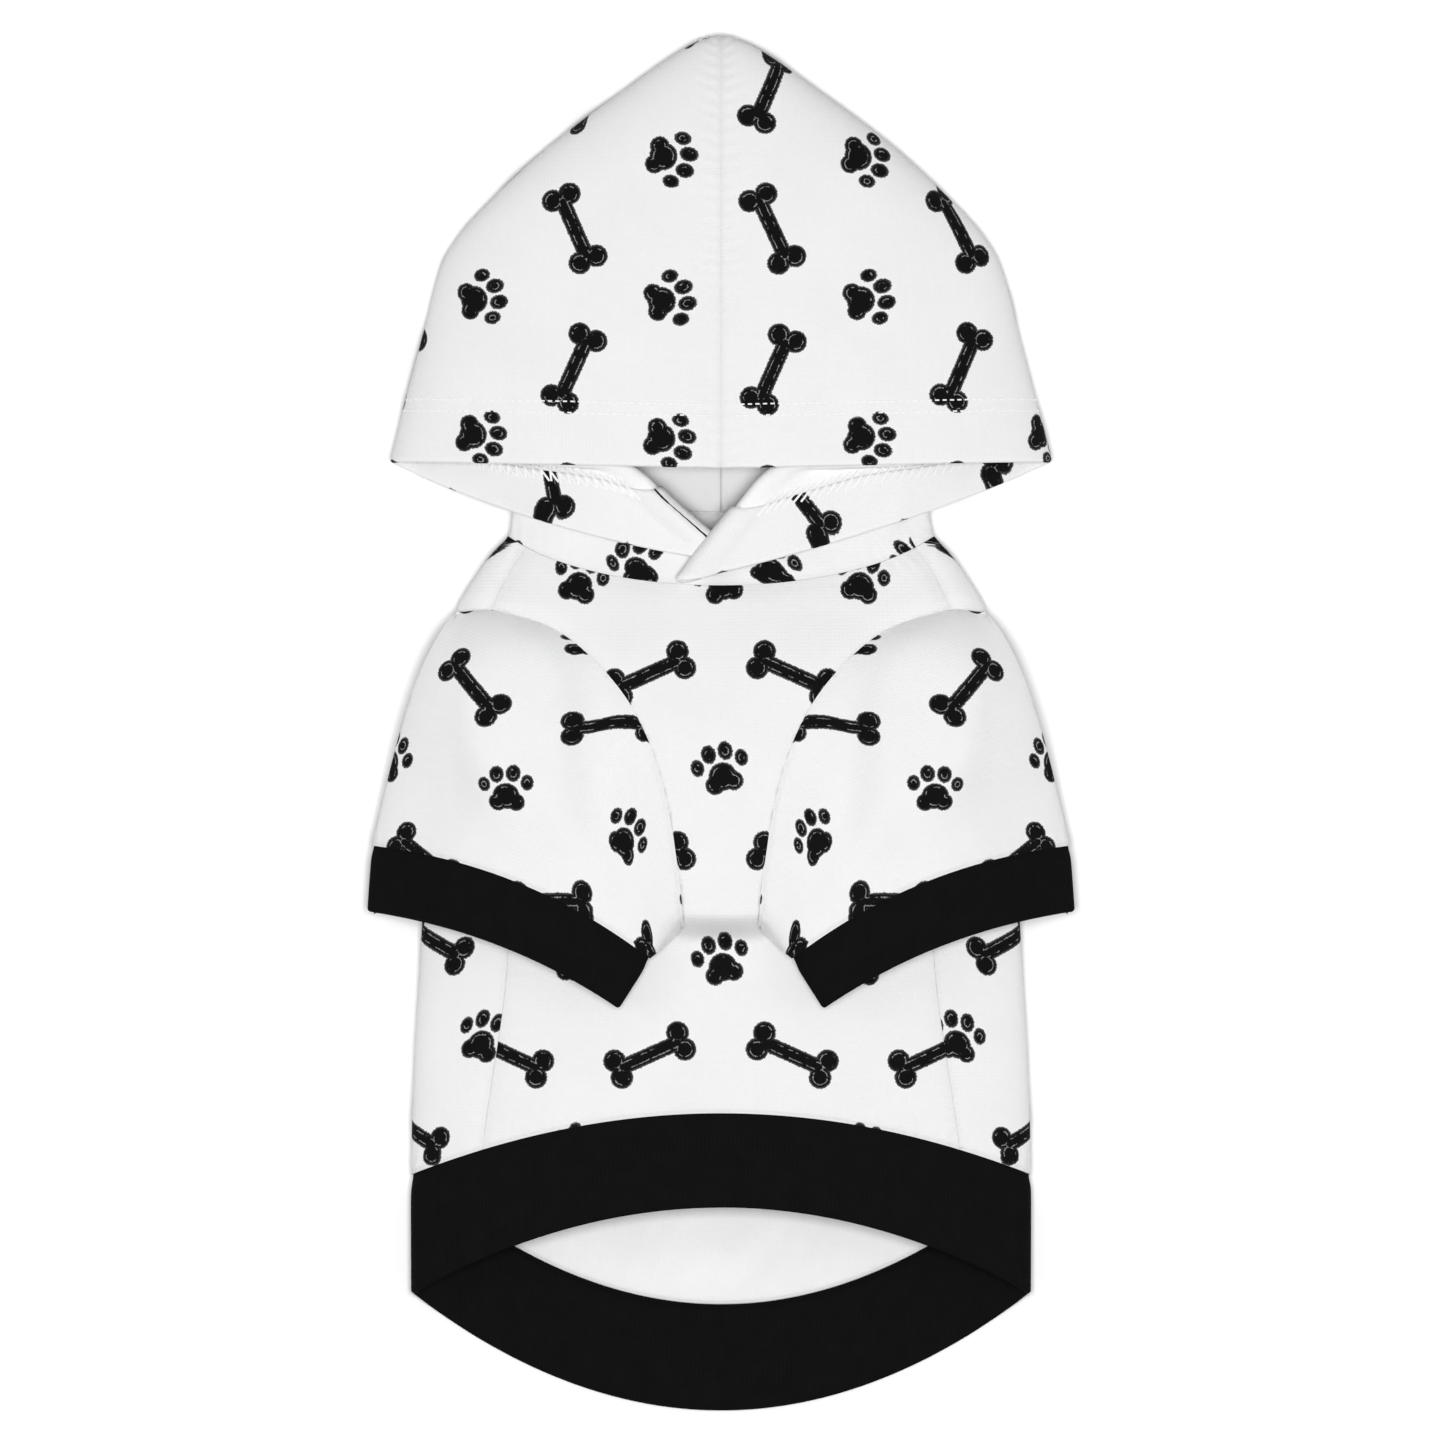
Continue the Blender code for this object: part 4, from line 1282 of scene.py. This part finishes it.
def flap_height(x, y, flap):
    """Height of a front flap's underside: over the neck, then sloping to the outline's fold."""
    neck = FLAP_SUPPORT_SHARE * trunk_half_width(y)
    edge = abs(x) / neck
    crossing = ease((FLAP_CROSSING["from"] - edge) / FLAP_CROSSING["blend"])
    lift = mix(FLAP_LIFT["left"], FLAP_LIFT[flap], crossing)
    lift += FLAP_SIDE_RISE * ease((edge - FLAP_SIDE["from"]) / FLAP_SIDE["blend"])
    if abs(x) <= neck:
        return trunk_top(x, y) + lift
    slide = clamp((abs(x) - neck) / (HOOD_WIDTH / 2 - HOOD_TURN_WIDTH - neck))
    return mix(trunk_top(neck, y) + lift, HOOD_EDGE_REST, slide)


def hood_neck_spot(along, flap):
    """The hood panel's neck edge: along the back of the neck band, then down the roll line."""
    if along <= SLIT_ALONG:
        edge = along / SLIT_ALONG
        y = neck_top_back(edge) + SEAM_GAP
        return edge * trunk_half_width(y), y, trunk_bottom(edge)
    share = (along - SLIT_ALONG) / (1 - SLIT_ALONG)
    x = HOOD_WIDTH / 2 * read(ROLL_STEPS[flap], "step", share, "across")
    y = NECK_SIDE_Y + NECK_BAND_SIDE_DEPTH * read(ROLL_STEPS[flap], "step", share, "up")
    return x, y, flap_height(x, y, flap)


def roll_weight(along, flap):
    """How much a row is rolled over at the neck: none at the nape, full at the throat."""
    share = (along - SLIT_ALONG) / (1 - SLIT_ALONG)
    weight = ease(share / ROLL_START_BLEND)
    return weight * ease((ROLL_END["at"] - share) / ROLL_END["blend"]) if flap == "left" else weight


def hood_under(along, share, flap):
    """A point of the hood's lower layer, from the neck edge to the outline."""
    x0, y0, z0 = hood_neck_spot(along, flap)
    x1, y1, _ = hood_outline(along)
    bow = 0
    if along > SLIT_ALONG:
        bow = mix(FLAP_BOW_AT_NECK, FLAP_BOW[flap], (along - SLIT_ALONG) / (1 - SLIT_ALONG))
    x = mix(x0, x1, share)
    y = mix(y0, y1, share) - bow * 4 * share * (1 - share)
    length = math.hypot(x1 - x0, y1 - y0)
    turn = 1 - clamp(length * (1 - share) / HOOD_TURN_WIDTH)
    rolled = 1 - math.sqrt(1 - turn * turn)
    laid = z0 * (1 - ease(share * LAID_RATE))
    draped = mix(z0, HOOD_EDGE_REST, ease(share)) if along <= SLIT_ALONG else flap_height(x, y, flap)
    height = mix(laid, draped, ease((along - SLIT_ALONG + FLAP_BLEND) / FLAP_BLEND))
    height += ROLL_RISE * roll_weight(along, flap) * (1 - ease(length * share / ROLL_REACH))
    return x, y, mix(height, HOOD_FOLD_HEIGHT, rolled)


def hood_over(along, share):
    """A point of the hood's upper layer: share 1 on the outline, 0 on the centre seam."""
    x1, y1, down = hood_outline(along)
    y0 = TIP_Y - mix(FACE_CORNER_DROP, FOREHEAD_DROP, down) * down
    y = mix(y0, y1, share)
    x = x1 * share
    return x, y, hood_top(x, y)


# %% Hood halves
UNDER_COLUMNS = 70
OVER_COLUMNS = 90
HOOD_COLUMNS = UNDER_COLUMNS + OVER_COLUMNS
HOOD_GRID_ROWS = 170
UNDER_CROWDING = 1.7
OVER_CROWDING = 1.4
CURL_STEPS = 7
ROLL_TURN_IN = 0.007
TIP_ROWS = 12


def hood_place(u, v, flap):
    step = u * HOOD_COLUMNS
    if step <= UNDER_COLUMNS:
        share = 1 - (1 - step / UNDER_COLUMNS) ** UNDER_CROWDING
        x, y, z = hood_under(v, share, flap)
    else:
        share = 1 - ((step - UNDER_COLUMNS) / OVER_COLUMNS) ** OVER_CROWDING
        x, y, z = hood_over(v, share)
    if v == 0 or step > HOOD_COLUMNS - 0.5:
        x = 0.0
    return x, y, z


def curl_neck_edge(points, out, flap):
    """Adds columns at the neck edge: a seam allowance at the nape, a rolled edge at the flap.
    The flap draws back by the roll's size first, so the roll's outside keeps to its line."""
    back = points[:, 0] - points[:, 3]
    back = unit(back - out[:, 0] * np.sum(back * out[:, 0], axis=1, keepdims=True))
    weight = np.array([roll_weight(j / HOOD_GRID_ROWS, flap) for j in range(len(points))])[:, None]
    fade = np.array([1 - ease(length / ROLL_REACH) for length in run(points, 1)[-1]])
    points = points - back[:, None] * (ROLL_INSET * weight)[:, None] * fade[None, :, None]
    base, normal = points[:, 0], out[:, 0]
    extra = []
    for step in range(1, CURL_STEPS + 1):
        angle = math.pi * min(step / (CURL_STEPS - 1), 1.0)
        inner = ROLL_TURN_IN if step == CURL_STEPS else 0.0
        rolled = base + back * (ROLL_RADIUS * math.sin(angle) - inner)
        rolled = rolled + normal * ROLL_RADIUS * (1 - math.cos(angle))
        seamed = base - normal * FLAT_ALLOWANCE * step / CURL_STEPS
        extra.append(mix(seamed, rolled, weight))
    return np.concatenate([np.array(extra[::-1]).swapaxes(0, 1), points], axis=1)


def face_distance(points):
    """Each point's distance from the face edge, which is the last row. Each layer of the hood
    is measured from its own part of that edge."""
    turn = CURL_STEPS + UNDER_COLUMNS
    away = np.empty(points.shape[:2])
    for layer in (slice(0, turn + 1), slice(turn, None)):
        edge = points[-1, layer]
        for j in range(len(points)):
            gap = points[j, layer][:, None] - edge[None]
            away[j, layer] = np.sqrt(np.min(np.sum(gap * gap, axis=2), axis=1))
    away[-1] = 0
    return np.maximum.accumulate(away[::-1], axis=0)[::-1]


# %% Stitches of the turned hem
STITCH_PITCH = 0.0036
STITCH_BITE = 0.003
STITCH_REACH = 0.0045
STITCH_RADIUS = 0.00048
COVER_RADIUS = 0.00034
STITCH_SLANTS = {"right": [0.0009], "left": [0.0014, -0.0014]}
COVER_PITCH = 0.0030
COVER_ROWS = (0.0195, 0.0240)
COVER_SHARE = 0.55
HEM_ROOM = {"from": 0.09, "share": 0.97}
SIDE_COLUMNS = 16
SMOOTHING = 30


def hem_depth(away):
    """The hem's depth in each column. It narrows on the flaps, where the roll leaves less room."""
    turn = CURL_STEPS + UNDER_COLUMNS
    room = HEM_ROOM["share"] * away[round((SLIT_ALONG + HEM_ROOM["from"]) * HOOD_GRID_ROWS)]
    near_turn = np.array([ease((i - turn + SIDE_COLUMNS) / SIDE_COLUMNS) for i in range(away.shape[1])])
    return mix(np.minimum(room, HEM_DEPTH), HEM_DEPTH, near_turn)


def at_lengths(line, lengths):
    """Points at given lengths along a line of points."""
    steps = np.linalg.norm(np.diff(line, axis=0), axis=1)
    marks = np.concatenate([[0], np.cumsum(steps)])
    return np.array([np.interp(lengths, marks, line[:, axis]) for axis in range(3)]).T


def length_of(line):
    return float(np.sum(np.linalg.norm(np.diff(line, axis=0), axis=1)))


def threads(starts, ends, radius):
    return [(start, end, radius) for start, end in zip(starts, ends)]


def overedge(points, out, away, depth, flap):
    """Slanting stitches over the hem's raw edge, on the flap's inner side."""
    shown = slice(CURL_STEPS + 2, CURL_STEPS + UNDER_COLUMNS - SIDE_COLUMNS)
    at_edge, at_bite = reach_of(away, depth, SMOOTHING), reach_of(away, depth - STITCH_BITE, SMOOTHING)
    lift = 2 * TURN_RADIUS
    edge = (at_rows(points, at_edge) - at_rows(out, at_edge) * lift)[shown]
    bite = (at_rows(points, at_bite) - at_rows(out, at_bite) * lift)[shown]
    far = edge + unit(edge - bite) * STITCH_REACH + at_rows(out, at_edge)[shown] * (lift - WALL)
    bars = []
    for slant in STITCH_SLANTS[flap]:
        shares = np.arange(STITCH_PITCH, length_of(edge) - STITCH_PITCH, STITCH_PITCH) / length_of(edge)
        lean = slant / length_of(edge)
        starts = at_lengths(bite, (shares - lean) * length_of(bite))
        tops = at_lengths(edge, shares * length_of(edge))
        ends = at_lengths(far, (shares + lean) * length_of(far))
        bars += threads(starts, tops, STITCH_RADIUS) + threads(tops, ends, STITCH_RADIUS)
    return bars


def coverstitch(points, out, away):
    """Two rows of short stitches on the outside of the hood, over the hem's raw edge."""
    bars = []
    for depth in COVER_ROWS:
        rows = reach_of(away, depth, SMOOTHING)
        line = at_rows(points, rows) + at_rows(out, rows) * COVER_RADIUS / 3
        line = line[CURL_STEPS + UNDER_COLUMNS:-2]
        starts = np.arange(COVER_PITCH, length_of(line) - COVER_PITCH, COVER_PITCH)
        ends = starts + COVER_PITCH * COVER_SHARE
        bars += threads(at_lengths(line, starts), at_lengths(line, ends), COVER_RADIUS)
    return bars


def stitch_bars(name, bars):
    """Short threads between pairs of points, each with its own radius."""
    bm = bmesh.new()
    for start, end, radius in bars:
        way = Vector(end - start)
        turn = way.to_track_quat("Z", "Y").to_matrix().to_4x4()
        middle = Matrix.Translation(Vector((start + end) / 2)) @ turn
        bmesh.ops.create_cone(
            bm, cap_ends=True, segments=6, radius1=radius, radius2=radius, depth=way.length, matrix=middle
        )
    piece = object_from(bm, name, [thread])
    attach(piece, "root")


# %% Sew the hood


def hem_map(uv, points, side):
    """Maps the turned hem square to the face edge, so its print isn't stretched."""
    edge = points[HOOD_GRID_ROWS]
    along = unit(np.gradient(edge, axis=0))
    for j in range(HOOD_GRID_ROWS + 1, len(points)):
        step = points[j] - edge
        aside = np.sum(step * along, axis=1)
        inward = np.sqrt(np.maximum(np.sum(step * step, axis=1) - aside ** 2, 0))
        uv[j, :, 0] = uv[HOOD_GRID_ROWS, :, 0] - inward
        uv[j, :, 1] = uv[HOOD_GRID_ROWS, :, 1] - side * aside
    return uv


def make_hood(side, name, flap):
    """One half of the hood: made on the right, and mirrored to its side at the end."""
    points = lay(HOOD_COLUMNS, HOOD_GRID_ROWS, lambda u, v: hood_place(u, v, flap))
    points = press_seams(points, UP, ("last",), depth=HOOD_SEAM_DIP, width=HOOD_SEAM_REACH)
    points = crease(points, side)
    points[0, :, 0] = points[:, -1, 0] = 0.0
    points = curl_neck_edge(points, normals_of(points), flap)
    out = normals_of(points)
    away = face_distance(points)
    depth = hem_depth(away)
    stitches = overedge(points, out, away, depth, flap) + coverstitch(points, out, away)
    reach = reach_of(away, depth, SMOOTHING)
    points = fold_under(points, out, rows_back(points, out, reach, INNER_ROWS))
    depth = np.full(len(points), ALLOWANCE)
    depth[:TIP_ROWS] = depth[HOOD_GRID_ROWS - 2:] = FLAT_ALLOWANCE
    points, _ = turn_in(points, normals_of(points), "last", depth)
    mirror = np.array([side, 1, 1])
    points = points * mirror
    stitch_bars("hem_stitches_" + flap, [(a * mirror, b * mirror, radius) for a, b, radius in stitches])
    seam = points.shape[1] - len(TURN_STEPS) - 2
    heights = -row_heights(points, seam)
    around = run(points, 1)
    uv = hem_map(stack(heights, (around[:, seam:seam + 1] - around) * side), points, side)
    return sew(name, points, uv, KNIT, turned=side < 0)


hoods = {"right": make_hood(1, "hood_right_cloth", "right"), "left": make_hood(-1, "hood_left_cloth", "left")}
print("hood faces:", len(hoods["right"].data.polygons))

# %% [markdown]
# ## Riding and cloth areas
# Each piece stands for one solid of the frame and rides with it; that solid is hidden. The area of
# each piece's cloth is printed.

# %% Frame calls
SHEETS = table_of(
    "piece node slot flat area",
    (chest, "chest_panel", "fleece", (0.215, 0.24), 0.031),
    (back, "back_panel", "fleece", (0.37, 0.30), 0.082),
    (hem_band, "waistband", "rib", (0.51, 0.094), None),
    (neck_band, "neck_band", "fleece", (0.36, 0.055), 0.013),
    (hoods["right"], "hood_right", "fleece", (0.30, 0.26), 0.050),
    (hoods["left"], "hood_left", "fleece", (0.30, 0.26), 0.050),
    (sleeves["right"], "sleeve_right", "fleece", (0.26, 0.13), 0.017),
    (sleeves["left"], "sleeve_left", "fleece", (0.26, 0.13), 0.017),
    (cuffs["right"], "cuff_right", "rib", (0.25, 0.052), None),
    (cuffs["left"], "cuff_left", "rib", (0.25, 0.052), None),
)


def cloth_area(piece):
    """The area of the cloth's middle layer, in square metres."""
    bpy.context.view_layer.update()
    seen = piece.evaluated_get(bpy.context.evaluated_depsgraph_get())
    return sum(face.area for face in seen.data.polygons) / 2


for sheet in SHEETS:
    print(sheet["node"], "area", round(cloth_area(sheet["piece"]), 4))
    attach(sheet["piece"], "root")
    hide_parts(sheet["node"])
print("pieces:", len(SHEETS))
